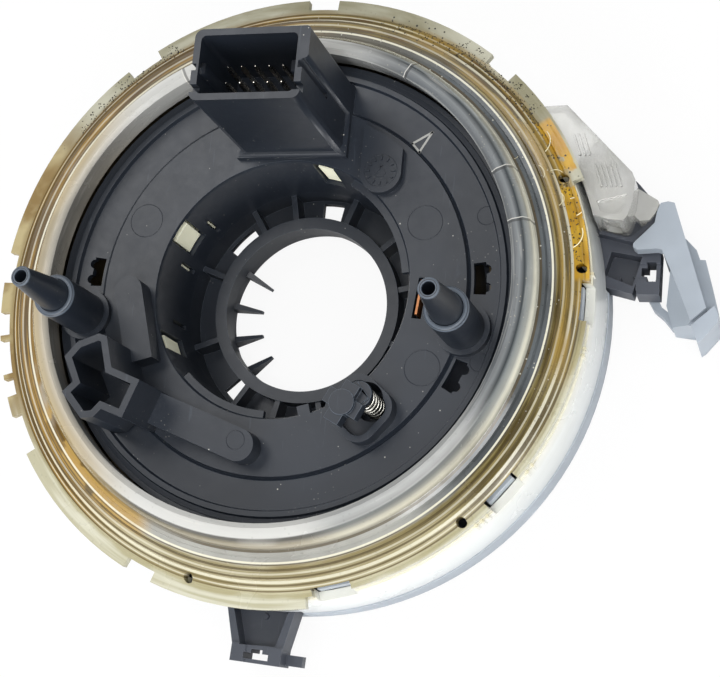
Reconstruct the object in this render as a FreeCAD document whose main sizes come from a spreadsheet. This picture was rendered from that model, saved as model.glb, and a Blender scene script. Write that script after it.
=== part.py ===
import FreeCAD, Part
import math
import os
import Sketcher

# Steering clock spring: the rotary joint that carries current and signals from
# the steering column to the steering wheel. Millimetres.
# The origin is on the turning axis, at the top face of the hub collar, where
# the shaft bore opens. +Z points to the steering wheel.

os.makedirs("parts", exist_ok=True)
doc = FreeCAD.newDocument("clock_spring")

SIZES = {
    # heights above the collar face
    "face_height": 15.0,
    "rear_depth": 9.0,
    "case_height": 6.8,
    "tower_height": 26.0,
    # clear cover, by radius
    "lip_step": 0.8,
    "crest_radius": 42.9,
    "crest_rise": 5.8,
    "crest_width": 4.0,
    "step_width": 1.9,
    "step_drop": 0.95,
    "steps_span": 8.1,
    "wall_lean": 1.2,
    "flange_reach": 1.8,
    "flange_drop": 2.7,
    "flange_thick": 1.5,
    "clear_wall": 1.6,
    "notch_depth": 1.9,
    "drain_radius": 0.9,
    # rotor
    "rotor_gap": 0.4,
    "plate_thick": 2.0,
    "floor_width": 5.0,
    "well_lean": 1.0,
    "hub_wall": 1.6,
    "band_width": 5.8,
    "band_drop": 0.6,
    "bead_inset": 3.5,
    "bead_width": 0.9,
    "bead_rise": 0.8,
    "rim_step": 0.5,
    "lip_reach": 1.4,
    "lip_thick": 1.2,
    "window_foot": 9.4,
    "window_rim": 0.5,
    "slot_foot": 12.4,
    "slot_rise": 5.6,
    "slot_width": 2.2,
    # lower rotor
    "bore_radius": 15.8,
    "collar_width": 2.2,
    "sleeve_depth": 8.4,
    "floor_depth": 4.8,
    "floor_thick": 1.4,
    "rib_thick": 1.0,
    "bore_length": 3.6,
    "fin_length": 4.4,
    "fin_root": 1.3,
    "fin_drop": 0.8,
    "fin_tip": 0.8,
    # wheel connector
    "tower_width": 19.8,
    "tower_depth": 12.9,
    "tower_wall": 1.2,
    "tower_step": 0.9,
    "tower_y": 31.7,
    "tower_x": -0.35,
    "tower_floor": 8.0,
    "tower_foot": 1.2,
    "foot_margin": 1.1,
    "corner_radius": 1.5,
    "key_depth": 0.8,
    "key_width": 1.2,
    "key_length": 14.0,
    "nick_depth": 1.6,
    "nick_width": 1.4,
    "pin_size": 0.64,
    "pin_pitch": 2.54,
    "pin_taper": 1.0,
    "pin_rise": 11.0,
    "row_pitch": 3.0,
    "row_shift": 1.05,
    # airbag connector
    "airbag_length": 15.0,
    "airbag_width": 15.0,
    "airbag_height": 14.0,
    "airbag_pin_rise": 4.5,
    "airbag_wall": 1.2,
    "airbag_floor": 2.0,
    "airbag_x": -26.7,
    "airbag_y": -20.6,
    "airbag_turn": -20.0,
    "leg_height": 4.2,
    "leg_width": 5.8,
    "leg_long": 28.0,
    "leg_short": 17.5,
    "leg_start": 7.7,
    "leg_slim": 0.6,
    "short_leg_x": 2.9,
    "short_leg_y": 6.0,
    "short_leg_turn": 106.0,
    # guide posts
    "post_radius": 3.9,
    "post_tube": 14.0,
    "post_tip_radius": 1.7,
    "post_bore_radius": 1.1,
    "post_seat": 1.2,
    "left_post_x": -37.0,
    "left_post_y": -5.8,
    "right_post_x": 34.2,
    "right_post_y": -7.0,
    # date boss
    "date_x": 17.25,
    "date_y": 21.0,
    "date_radius": 3.75,
    "date_rise": 1.5,
    # centre lock
    "lock_x": 18.9,
    "lock_y": -20.5,
    "lock_head_x": 16.6,
    "lock_head_y": -22.3,
    "pad_x": 17.7,
    "pad_y": -22.0,
    "pad_side": 10.4,
    "pad_round": 3.4,
    "pad_turn": 50.0,
    "lock_wall": 1.1,
    "lock_rise": 3.4,
    "lock_cup_radius": 4.2,
    "lock_cup_depth": 5.0,
    "lock_head_rise": 9.5,
    "lock_head_thick": 2.8,
    "lock_head_span": 7.4,
    "lock_head_bar": 2.8,
    "lock_head_turn": 62.0,
    "lock_hub_radius": 2.2,
    "lock_bridge_length": 5.0,
    "lock_bridge_width": 3.4,
    "lock_bridge_thick": 1.4,
    "lock_bridge_turn": 38.0,
    "lock_stem_radius": 1.0,
    "lock_travel": 2.5,
    "spring_radius": 1.75,
    "spring_wire": 0.28,
    "spring_turns": 7.0,
    # inside
    "leaf_inset": 2.0,
    "leaf_y": -1.6,
    "leaf_drop": 5.5,
    "leaf_turn": -6.0,
    "leaf_thick": 0.4,
    "leaf_width": 6.2,
    "leaf_tall": 6.2,
    "leaf_fold": 1.2,
    "core_gap": 0.5,
    "core_wall": 1.5,
    "lug_gap": 0.4,
    "ribbon_lead": 6.5,
    "ribbon_thick": 0.5,
    "ribbon_gap": 1.0,
    "ribbon_turns": 5.0,
    "ribbon_width": 10.6,
    "ring_reach": 6.6,
    "ring_thick": 0.7,
    "ring_slot_length": 1.6,
    "ring_slot_width": 4.0,
    "barrier_width": 5.0,
    "barrier_height": 2.8,
    "carrier_gap": 2.0,
    "carrier_thick": 1.4,
    "board_thick": 1.4,
    "chip_side": 7.0,
    "chip_height": 1.0,
    "regulator_length": 5.0,
    "regulator_width": 4.0,
    "regulator_height": 1.3,
    "board_clear": 3.4,
    "board_gap": 2.2,
    # rear case and arms
    "case_wall": 1.5,
    "case_gap": 0.8,
    "hook_width": 6.0,
    "hook_thick": 1.3,
    "side_arm_reach": 10.2,
    "side_arm_width": 8.4,
    "side_arm_root": 9.0,
    "side_block": 3.6,
    "side_block_turn": 0.0,
    "low_arm_reach": 11.0,
    "low_arm_width": 9.6,
    "low_arm_root": 15.0,
    "low_block": 2.8,
    "low_block_turn": -93.0,
    "hook_foot": 3.0,
    "arm_sink": 3.6,
    "arm_height": 4.8,
    "arm_wall": 1.4,
    "arm_floor": 1.4,
    "trough_start": 4.2,
    "trough_rim": 0.4,
    "arm_roll": 2.7,
    "side_arm_inset": 4.4,
    "side_arm_y": 10.9,
    "side_arm_turn": -16.0,
    "low_arm_x": -3.0,
    "low_arm_inset": 4.4,
    "low_arm_turn": -90.0,
    "seat_gap": 0.3,
    "seat_play": 0.05,
    # column connector
    "plug_length": 26.0,
    "plug_width": 8.4,
    "plug_top": 3.0,
    "plug_wall": 0.7,
    "plug_roof": 1.4,
    "plug_out": 14.2,
    "plug_y": 7.0,
    "plug_turn": -72.5,
    "plug_step": 4.0,
    "plug_lobe": 2.8,
    "plug_pitch": 1.8,
    "plug_pin_rise": 2.6,
    # duct
    "duct_length": 27.0,
    "duct_width": 17.0,
    "duct_inset": 1.4,
    "duct_y": 25.6,
    "duct_turn": -50.0,
    "duct_top": 8.2,
    "duct_wall": 1.2,
    "duct_rib": 0.35,
    "duct_low": 2.6,
    "rib_pitch": 0.85,
    "shelf_rise": 2.2,
}

NOTCHES = ((46, 52), (85, 91), (123, 130), (173, 179), (185, 189.6), (190.6, 197.5),
           (198.5, 202), (206, 214), (244, 250))
SMOOTH_SECTOR = (280, 382)
HOOK_ANGLES = (-75, -39, -1, 62, 108, 158)
DRAIN_ANGLES = (257, 312, 365, 383)
RIB_ANGLES = (13, 41, 70, 102, 123, 160, 200, 236, 258, 283, 310, 340)
FLOOR_WINDOWS = ((79, 90), (129, 145), (223, 233))
HUB_WINDOWS = ((71, 81), (147, 158.5), (200, 209))
HUB_SLOTS = (141.5, 164.5, 192.0)
FIN_ANGLES = (150, 174, 198, 222)
CORE_NOTCHES = (20, 110, 170, 250)
BOARD_POSTS = (-50, 20, 90)
CODE_SLOTS = 12
LIP_SECTORS = ((-135, -92), (8, 60))
BAND_SLOTS = ((-1, 8), (-29, -20), (171.5, 180))


class Size:
    """A number that remembers the sheet cells it was worked out from."""

    def __init__(self, value, text):
        self.value = value
        self.text = text

    def __add__(self, other):
        other = lift(other)
        return Size(self.value + other.value, f"({self.text} + {other.text})")

    def __radd__(self, other):
        return lift(other) + self

    def __sub__(self, other):
        other = lift(other)
        return Size(self.value - other.value, f"({self.text} - {other.text})")

    def __rsub__(self, other):
        return lift(other) - self

    def __mul__(self, other):
        other = lift(other)
        return Size(self.value * other.value, f"({self.text} * {other.text})")

    def __rmul__(self, other):
        return lift(other) * self

    def __truediv__(self, other):
        other = lift(other)
        return Size(self.value / other.value, f"({self.text} / {other.text})")

    def __neg__(self):
        return lift(0) - self


def lift(number):
    """Turn a plain number into a Size."""
    if isinstance(number, Size):
        return number
    return Size(float(number), f"{number:.9f}")


class Sheet:
    """The document's spreadsheet; each size is an attribute."""

    def __init__(self):
        self.cells = doc.addObject("Spreadsheet::Sheet", "sizes")
        for row, (alias, value) in enumerate(SIZES.items(), start=1):
            self.cells.set(f"A{row}", alias)
            self.cells.set(f"B{row}", str(value))
            self.cells.setAlias(f"B{row}", alias)
        doc.recompute()

    def __getattr__(self, alias):
        return Size(float(self.cells.get(alias)), f"sizes.{alias}")


D = Sheet()


def bind(feature, prop, size):
    """Set a property from the sheet and keep it bound."""
    feature.setExpression(prop, lift(size).text)


def move(feature, x=0, y=0, z=0, turn=0):
    """Place a feature, turned about Z by a plain angle in degrees."""
    angle = lift(turn).value
    spot = FreeCAD.Vector(lift(x).value, lift(y).value, lift(z).value)
    feature.Placement = FreeCAD.Placement(spot, FreeCAD.Rotation(FreeCAD.Vector(0, 0, 1), angle))
    for axis, size in (("x", x), ("y", y), ("z", z)):
        bind(feature, f"Placement.Base.{axis}", size)
    return feature


def polar(radius, angle, across=0):
    """A point at a radius and an angle, moved sideways by across."""
    cos = math.cos(math.radians(angle))
    sin = math.sin(math.radians(angle))
    return lift(radius) * cos - lift(across) * sin, lift(radius) * sin + lift(across) * cos


def cylinder(name, radius, z, height, x=0, y=0, start=0, sweep=360):
    """A cylinder, or a sector of one, standing at height z."""
    solid = doc.addObject("Part::Cylinder", name)
    bind(solid, "Radius", radius)
    bind(solid, "Height", height)
    solid.Angle = sweep
    return move(solid, x, y, z, start)


def block(name, x, y, z, length, width, height, turn=0):
    """A box with one corner at x, y, z, turned about that corner."""
    solid = doc.addObject("Part::Box", name)
    bind(solid, "Length", length)
    bind(solid, "Width", width)
    bind(solid, "Height", height)
    return move(solid, x, y, z, turn)


def spoke(name, angle, inner, outer, width, z, height):
    """A box that lies along a radius, centred on it."""
    x, y = polar(inner, angle, lift(width) / -2)
    return block(name, x, y, z, lift(outer) - inner, width, height, angle)


def centred(name, x, y, z, length, width, height, turn=0):
    """A box centred on x, y and turned about its middle."""
    dx, dy = polar(lift(length) / -2, lift(turn).value, lift(width) / -2)
    return block(name, lift(x) + dx, lift(y) + dy, z, length, width, height, turn)


def fuse(name, solids):
    """One solid from several."""
    solid = doc.addObject("Part::MultiFuse", name)
    solid.Shapes = list(solids)
    solid.Refine = True
    return solid


def group(name, solids):
    """Separate solids kept as one node."""
    result = doc.addObject("Part::Compound", name)
    result.Links = list(solids)
    return result


def cut(name, base, tools):
    """A solid less the tools."""
    tools = list(tools)
    tool = tools[0] if len(tools) == 1 else fuse(f"{name}_tools", tools)
    solid = doc.addObject("Part::Cut", name)
    solid.Base = base
    solid.Tool = tool
    solid.Refine = True
    return solid


def common(name, first, second):
    """What two solids share."""
    solid = doc.addObject("Part::Common", name)
    solid.Base = first
    solid.Tool = second
    return solid


def ring(name, inner, outer, z, height, start=0, sweep=360):
    """A flat ring, or a sector of one."""
    body = cylinder(f"{name}_outer", outer, z, height, start=start, sweep=sweep)
    hole = cylinder(f"{name}_hole", inner, lift(z) - 1, lift(height) + 2)
    return cut(name, body, [hole])


def draw(sketch, points):
    """Draw a closed outline whose corners are bound to the sheet."""
    count = len(points)
    for index, (x, y) in enumerate(points):
        far_x, far_y = points[(index + 1) % count]
        start = FreeCAD.Vector(lift(x).value, lift(y).value, 0)
        end = FreeCAD.Vector(lift(far_x).value, lift(far_y).value, 0)
        sketch.addGeometry(Part.LineSegment(start, end), False)
    for index in range(count):
        sketch.addConstraint(Sketcher.Constraint("Coincident", index, 2, (index + 1) % count, 1))
    for index, (x, y) in enumerate(points):
        for kind, axis, size in (("DistanceX", -2, lift(x)), ("DistanceY", -1, lift(y))):
            if abs(size.value) < 1e-9:
                sketch.addConstraint(Sketcher.Constraint("PointOnObject", index, 1, axis))
            else:
                rule = Sketcher.Constraint(kind, -1, 1, index, 1, size.value)
                place = sketch.addConstraint(rule)
                sketch.setExpression(f"Constraints[{place}]", size.text)


def plane_of(body, role):
    """One of a body's own origin planes."""
    for feature in body.Origin.OriginFeatures:
        if feature.Role == role:
            return feature
    raise ValueError(role)


def turned(name, points):
    """A body turned about Z from a profile of radius and height."""
    body = doc.addObject("PartDesign::Body", name)
    sketch = body.newObject("Sketcher::SketchObject", f"{name}_profile")
    sketch.AttachmentSupport = [(plane_of(body, "XZ_Plane"), "")]
    sketch.MapMode = "FlatFace"
    draw(sketch, points)
    turn = body.newObject("PartDesign::Revolution", f"{name}_turn")
    turn.Profile = sketch
    turn.ReferenceAxis = (sketch, ["V_Axis"])
    turn.Angle = 360
    return body


def padded(name, points, z, height):
    """A body pulled up from an outline."""
    body = doc.addObject("PartDesign::Body", name)
    sketch = body.newObject("Sketcher::SketchObject", f"{name}_outline")
    sketch.AttachmentSupport = [(plane_of(body, "XY_Plane"), "")]
    sketch.MapMode = "FlatFace"
    bind(sketch, "AttachmentOffset.Base.z", z)
    draw(sketch, points)
    pad = body.newObject("PartDesign::Pad", f"{name}_pad")
    pad.Profile = sketch
    bind(pad, "Length", height)
    return body


def pulled(name, outline, z, height, x=0, y=0, turn=0, grow=None):
    """A solid pulled up from an outline, grown or shrunk by a margin if one is given."""
    body = padded(name, outline, z, height)
    if grow is None:
        return move(body, x, y, 0, turn)
    doc.recompute()
    edge = doc.addObject("Part::Offset2D", f"{name}_offset")
    edge.Source = body.Group[0]
    edge.Join = 2
    bind(edge, "Value", grow)
    solid = doc.addObject("Part::Extrusion", f"{name}_pull")
    solid.Base = edge
    solid.DirMode = "Custom"
    solid.Dir = FreeCAD.Vector(0, 0, 1)
    solid.Solid = True
    bind(solid, "LengthFwd", height)
    return move(solid, x, y, 0, turn)


def wedge(name, x, y, z, turn, length, near, far):
    """A block that tapers along its own Y; near and far give start, end and height."""
    solid = doc.addObject("Part::Wedge", name)
    bind(solid, "Ymax", length)
    for prop, size in zip(("Xmin", "Xmax", "Zmax", "X2min", "X2max", "Z2max"), near + far):
        bind(solid, prop, size)
    for prop in ("Ymin", "Zmin", "Z2min"):
        bind(solid, prop, 0)
    return move(solid, x, y, z, turn)


def along(x, y, turn, run, across=0):
    """A point a run along a turned direction from x, y, and across it."""
    dx, dy = polar(run, turn, across)
    return x + dx, y + dy


def beam(name, spot, turn, start, end, width, z, height):
    """A box along a direction that starts at a spot, centred on that line."""
    x, y = along(spot[0], spot[1], turn, start, lift(width) / -2)
    return block(name, x, y, z, lift(end) - start, width, height, turn)


def round_uprights(name, base, radius, keep=None):
    """Round a solid's vertical edges."""
    doc.recompute()
    solid = doc.addObject("Part::Fillet", name)
    solid.Base = base
    edges = []
    for index, edge in enumerate(base.Shape.Edges, start=1):
        ends = [vertex.Point for vertex in edge.Vertexes]
        if len(ends) != 2:
            continue
        flat = math.hypot(ends[0].x - ends[1].x, ends[0].y - ends[1].y)
        if flat < 1e-6 and abs(ends[0].z - ends[1].z) > 1e-3:
            if keep is None or keep(ends[0]):
                edges.append((index, radius.value, radius.value))
    solid.Edges = edges
    return solid


NODES = []


def node(name, feature):
    """Name a finished sub-part."""
    feature.Label = name
    NODES.append(feature)
    return feature


LIP_RADIUS = D.crest_radius + D.lip_step
BEAD_RADIUS = LIP_RADIUS - D.bead_inset
GROOVE_RADIUS = BEAD_RADIUS - D.band_width
WALL_TOP_RADIUS = D.crest_radius + D.crest_width + D.steps_span
WALL_FOOT_RADIUS = WALL_TOP_RADIUS + D.wall_lean
FLANGE_RADIUS = WALL_TOP_RADIUS + D.flange_reach
DUCT_X = WALL_FOOT_RADIUS - D.duct_inset
PLUG_X = WALL_FOOT_RADIUS + D.plug_out
SIDE_ARM_X = WALL_FOOT_RADIUS - D.side_arm_inset
LOW_ARM_Y = D.low_arm_inset - WALL_FOOT_RADIUS
WELL_FOOT_RADIUS = D.bore_radius + D.collar_width + D.floor_width
WELL_RADIUS = WELL_FOOT_RADIUS + D.well_lean
SKIRT_RADIUS = WELL_FOOT_RADIUS + D.hub_wall
CORE_OUTER = WELL_RADIUS + D.hub_wall + D.core_gap + D.core_wall - 0.1
RIBBON_INNER = CORE_OUTER + D.ribbon_lead
CASE_OPENING = SKIRT_RADIUS + D.case_gap
CARRIER_RADIUS = SKIRT_RADIUS + D.carrier_gap
BOARD_INNER = SKIRT_RADIUS + D.board_clear
LEAF_X = WELL_RADIUS + D.leaf_inset
FACE = D.face_height
REAR = -D.rear_depth
CASE_TOP = REAR + D.case_height
WALL_FOOT = CASE_TOP
FLANGE = FACE - D.flange_drop
CARRIER_TOP = WALL_FOOT + D.carrier_thick
ARM_FOOT = WALL_FOOT - D.arm_sink
ARM_TOP = ARM_FOOT + D.arm_height
ARMS = (("side_arm", (SIDE_ARM_X, D.side_arm_y), D.side_arm_turn, D.side_arm_reach,
         D.side_arm_root, D.side_arm_width, D.side_block_turn, D.side_block),
        ("low_arm", (D.low_arm_x, LOW_ARM_Y), D.low_arm_turn, D.low_arm_reach,
         D.low_arm_root, D.low_arm_width, D.low_block_turn, D.low_block))
DUCT_FOOT = CARRIER_TOP + D.seat_play
TAIL_FOOT = DUCT_FOOT + D.duct_wall
TAIL_ROOM = D.duct_top - D.duct_wall - TAIL_FOOT
HOOK_REACH = WALL_TOP_RADIUS - D.clear_wall - 0.9
ROOM = HOOK_REACH - D.hook_thick
BOARD_OUTER = ROOM - D.board_gap


def build_stator_cover():
    """Clear cup: crest round the rotor, steps, toothed flange and side wall."""
    crest = FACE + D.crest_rise
    outer = D.crest_radius + D.crest_width
    wall = D.clear_wall
    points = [
        (LIP_RADIUS, FACE - 0.7),
        (D.crest_radius + 0.1, FACE + 3.5),
        (D.crest_radius, crest - 0.6),
        (D.crest_radius + 0.9, crest),
        (outer - 1.3, crest - 0.3),
        (outer - 0.3, crest - 1.8),
        (outer, FACE + 1.6),
    ]
    step = outer + 1.1
    height = FACE + 1.35
    for _ in range(3):
        points.append((step, height))
        points.append((step + 0.25, height - D.step_drop))
        step = step + D.step_width
        height = height - D.step_drop
    points += [
        (WALL_TOP_RADIUS - 1.1, FLANGE + 0.5),
        (WALL_TOP_RADIUS - 0.8, FLANGE),
        (FLANGE_RADIUS, FLANGE),
        (FLANGE_RADIUS, FLANGE - D.flange_thick),
        (WALL_TOP_RADIUS, FLANGE - D.flange_thick),
        (WALL_FOOT_RADIUS, WALL_FOOT),
        (WALL_FOOT_RADIUS - wall, WALL_FOOT),
        (WALL_TOP_RADIUS - wall, FLANGE - wall),
        (WALL_TOP_RADIUS - wall - 2.6, FLANGE + 0.2),
        (outer + 1.1, FACE - 1.3),
        (outer - 1.1, FACE - 0.8),
        (outer - 1.1, crest - 2.0),
        (LIP_RADIUS + 1.1, crest - 1.6),
        (LIP_RADIUS + 1.1, FACE - 0.7),
    ]
    shell = turned("cover_shell", points)
    inner = FLANGE_RADIUS - D.notch_depth
    tall = D.flange_thick + 1
    gaps = []
    for start, end in NOTCHES + (SMOOTH_SECTOR,):
        gaps.append(cylinder("notch", FLANGE_RADIUS + 2, FLANGE - tall, tall + 1, start=start,
                             sweep=end - start))
    keep = cylinder("flange_root", inner, FLANGE - tall - 1, tall + 3)
    tools = [cut("flange_gaps", fuse("notches", gaps), [keep])]
    for index, angle in enumerate(HOOK_ANGLES):
        open_top = 5.2 if index < 3 else 2.9
        tools.append(spoke("hook_window", angle, WALL_TOP_RADIUS - 2.4, WALL_FOOT_RADIUS + 2.6,
                           D.hook_width + 1, FLANGE - 4.6, open_top))
    for angle in DRAIN_ANGLES:
        x, y = polar(WALL_TOP_RADIUS - 1.4, angle)
        tools.append(cylinder("drain", D.drain_radius, FLANGE - 5, 8, x, y))
    for name, spot, turn, reach, root, width, block_turn, block_length in ARMS:
        tools.append(beam(f"{name}_gap", spot, turn.value, 0, reach - 2, root + 2 * D.seat_gap,
                          WALL_FOOT - 1, ARM_TOP - WALL_FOOT + 1 + D.seat_gap))
    tools.append(spoke("ribbon_gate", 35, WALL_TOP_RADIUS - 4, WALL_FOOT_RADIUS + 2.6,
                       9, TAIL_FOOT, TAIL_ROOM))
    tools.append(placed_duct("shelf_gate", SHELF, WALL_FOOT - 1, D.carrier_thick + 1.1, D.seat_gap))
    tools.append(placed_duct("shelf_wall_gate", SHELF_WALL, WALL_FOOT - 1,
                             D.carrier_thick + D.shelf_rise + 1 + D.seat_gap, D.seat_gap))
    node("stator_cover", cut("stator_cover", shell, tools))


def build_rear_case():
    """Light grey rear cup with snap hooks that reach the cover's windows."""
    wall = D.case_wall
    floor = REAR + wall
    points = [
        (CASE_OPENING, REAR),
        (WALL_FOOT_RADIUS - 0.8, REAR),
        (WALL_FOOT_RADIUS + 0.2, REAR + 1.0),
        (WALL_FOOT_RADIUS + 0.2, CASE_TOP),
        (WALL_FOOT_RADIUS + 0.2 - wall, CASE_TOP),
        (WALL_FOOT_RADIUS + 0.2 - wall, floor),
        (CASE_OPENING + wall, floor),
        (CASE_OPENING + wall, floor + 1.2),
        (CASE_OPENING, floor + 1.2),
    ]
    shell = turned("case_shell", points)
    parts = [shell]
    for angle in HOOK_ANGLES:
        parts.append(spoke("hook_arm", angle, HOOK_REACH - D.hook_thick, HOOK_REACH, D.hook_width,
                           floor - 0.2, FLANGE - floor - 1.6))
        parts.append(spoke("hook_nose", angle, HOOK_REACH - D.hook_thick, HOOK_REACH + 1.1, D.hook_width,
                           FLANGE - 4.2, 2.2))
    for angle in BOARD_POSTS:
        x, y = polar((BOARD_INNER + BOARD_OUTER) / 2, angle)
        parts.append(cylinder("board_post", 2.2, floor - 0.2, 1.0 + 0.2, x, y))
    body = fuse("case_body", parts)
    tools = []
    for name, spot, turn, reach, root, width, block_turn, block_length in ARMS:
        tools.append(beam(f"{name}_case_gap", spot, turn.value, 0, reach - 2, root + 2 * D.seat_gap,
                          ARM_FOOT - D.seat_gap, D.arm_height))
    node("rear_case", cut("rear_case", body, tools))


def share(points, length, width):
    """An outline given in shares of a length and a width."""
    return [(length * along_share, width * across_share) for along_share, across_share in points]


def placed_plug(name, points, z, height, grow=None):
    """A solid on the column connector's own place, from shares of its size."""
    outline = share(points, D.plug_length, D.plug_width)
    return pulled(name, outline, z, height, PLUG_X, D.plug_y, D.plug_turn, grow)


PLUG_BAR = ((-0.500, 0.131), (-0.523, 0.012), (-0.527, -0.143), (-0.485, -0.250), (-0.408, -0.369),
            (-0.188, -0.381), (-0.065, -0.333), (0.177, -0.262), (0.342, -0.226), (0.269, 0.149))
PLUG_LOBE = ((-0.415, -0.310), (-0.358, -0.619), (-0.319, -0.845), (-0.304, -0.917), (-0.281, -0.940),
             (-0.254, -0.881), (-0.223, -0.476), (-0.188, -0.310))
PLUG_LEDGE = ((-0.308, 0.095), (-0.269, 0.167), (-0.181, 0.298), (-0.108, 0.310), (-0.096, 0.417),
              (0.119, 0.393), (0.265, 0.369), (0.346, 0.333), (0.308, 0.060))
PLUG_END = ((0.258, 0.321), (0.335, -0.226), (0.477, -0.214), (0.465, -0.107), (0.381, 0.286),
            (0.338, 0.345))
PLUG_LATCH = ((-0.115, -0.976), (0.000, -0.964), (0.088, -0.905), (0.165, -0.750), (0.254, -0.643),
              (0.254, -0.357), (0.177, -0.357), (0.154, -0.583), (0.085, -0.726), (0.023, -0.750),
              (-0.115, -0.762))


def placed_duct(name, points, z, height, grow=None):
    """A solid on the duct's own place, from shares of its size."""
    outline = share(points, D.duct_length, D.duct_width)
    return pulled(name, outline, z, height, DUCT_X, D.duct_y, D.duct_turn, grow)


DUCT_PLAN = ((-0.556, -0.382), (-0.563, -0.094), (-0.459, 0.118), (0.193, 0.182), (0.244, 0.159),
             (0.348, 0.006), (0.411, -0.153), (0.415, -0.206), (0.348, -0.312), (0.274, -0.388),
             (0.222, -0.588), (0.000, -0.529))
DUCT_LOW = ((0.193, 0.141), (0.381, 0.241), (0.411, 0.229), (0.441, 0.141), (0.456, 0.047),
            (0.419, -0.041), (0.326, -0.053))
DUCT_ROOM = ((-0.537, -0.412), (-0.519, -0.112), (-0.437, 0.047), (0.181, 0.112), (0.215, 0.088),
             (0.307, -0.041), (0.363, -0.176), (0.363, -0.200), (0.307, -0.276), (0.241, -0.329),
             (0.148, -0.471), (0.000, -0.471))
DUCT_WINDOW = ((0.296, -0.294), (0.367, -0.206), (0.441, -0.306), (0.341, -0.459))
DUCT_RECESS = ((0.200, -0.282), (0.289, 0.000), (0.344, -0.094), (0.363, -0.188), (0.330, -0.253),
               (0.270, -0.318))
TAIL_LINE = ((-0.470, -0.320), (-0.300, -0.020), (-0.100, 0.015), (0.120, 0.010), (0.270, -0.100))
SHELF = ((-0.585, -0.412), (-0.585, -0.029), (-0.481, 0.171), (0.185, 0.229), (0.459, 0.229),
         (0.480, 0.029), (0.493, -0.218), (0.452, -0.276), (0.300, -0.441), (0.163, -0.647),
         (0.000, -0.588))
SHELF_WALL = ((0.407, 0.194), (0.459, 0.229), (0.480, 0.029), (0.493, -0.218), (0.452, -0.276),
              (0.300, -0.441), (0.300, -0.394), (0.441, -0.247), (0.459, -0.200), (0.452, 0.000))


def arm_outline(start, end, root, width):
    """A snap arm's plan, tapering from its root."""
    return [(start, -root / 2), (end, -width / 2), (end, width / 2), (start, root / 2)]


def build_sensor_housing():
    """Dark carrier plate under the ribbon, with a duct shelf and two snap arms."""
    plate = ring("carrier_plate", CARRIER_RADIUS, WALL_FOOT_RADIUS - D.clear_wall - 0.5,
                 WALL_FOOT, D.carrier_thick)
    parts = [
        plate,
        placed_duct("duct_shelf", SHELF, WALL_FOOT, D.carrier_thick),
        placed_duct("shelf_wall", SHELF_WALL, WALL_FOOT, D.carrier_thick + D.shelf_rise),
    ]
    holes = []
    for name, spot, turn, reach, root, width, block_turn, block_length in ARMS:
        thin = 2 * D.arm_wall
        parts.append(pulled(f"{name}_body", arm_outline(0, reach, root, width), ARM_FOOT, D.arm_height,
                            *spot, turn))
        trough = arm_outline(D.trough_start, reach - D.trough_rim, root - thin * 1.6, width - thin)
        holes.append(pulled(f"{name}_trough", trough, ARM_FOOT + D.arm_floor, D.arm_height, *spot, turn))
        tip = along(*spot, turn.value, reach)
        angle = block_turn.value
        half = width / 2
        for side in (-1, 1):
            x, y = along(*tip, angle, block_length / 2 - 0.2, side * (half - D.arm_roll / 2))
            parts.append(centred(f"{name}_roll", x, y, ARM_FOOT, block_length + 0.4, D.arm_roll,
                                 D.arm_height + 0.4, angle))
        parts.append(beam(f"{name}_block", tip, angle, -0.6, block_length, width - 2, ARM_FOOT,
                          D.arm_height))
        wide = width - 2 * D.arm_roll + 0.6
        holes.append(beam(f"{name}_window", tip, angle, block_length * 0.36, block_length - 0.7,
                          wide, ARM_FOOT - 1, D.arm_height + 3))
        holes.append(beam(f"{name}_notch", tip, angle, 0.3, block_length * 0.5,
                          wide * 0.45, ARM_FOOT - 1, D.arm_height + 3))
        parts.append(beam(f"{name}_tongue", tip, angle, block_length - 1.0, block_length, width * 0.7,
                          ARM_FOOT, 1.6))
    x, y = along(D.low_arm_x, LOW_ARM_Y, D.low_arm_turn.value, D.low_arm_reach + D.low_block * 0.6,
                 D.low_arm_width / 2)
    parts.append(beam("low_arm_hook", (x, y), D.low_block_turn.value + 90, -1.0, D.hook_foot,
                      D.low_block * 0.7, ARM_FOOT, 1.8))
    for angle in HOOK_ANGLES:
        holes.append(spoke("hook_pass", angle, HOOK_REACH - D.hook_thick - 0.4, WALL_FOOT_RADIUS - 1.7,
                           D.hook_width + 0.8, WALL_FOOT - 1, D.carrier_thick + 2))
    holes.append(placed_plug("plug_clearance", PLUG_BAR, REAR - 1, 16, D.seat_play))
    body = fuse("housing_body", parts)
    node("sensor_housing", cut("sensor_housing", body, holes))


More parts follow.
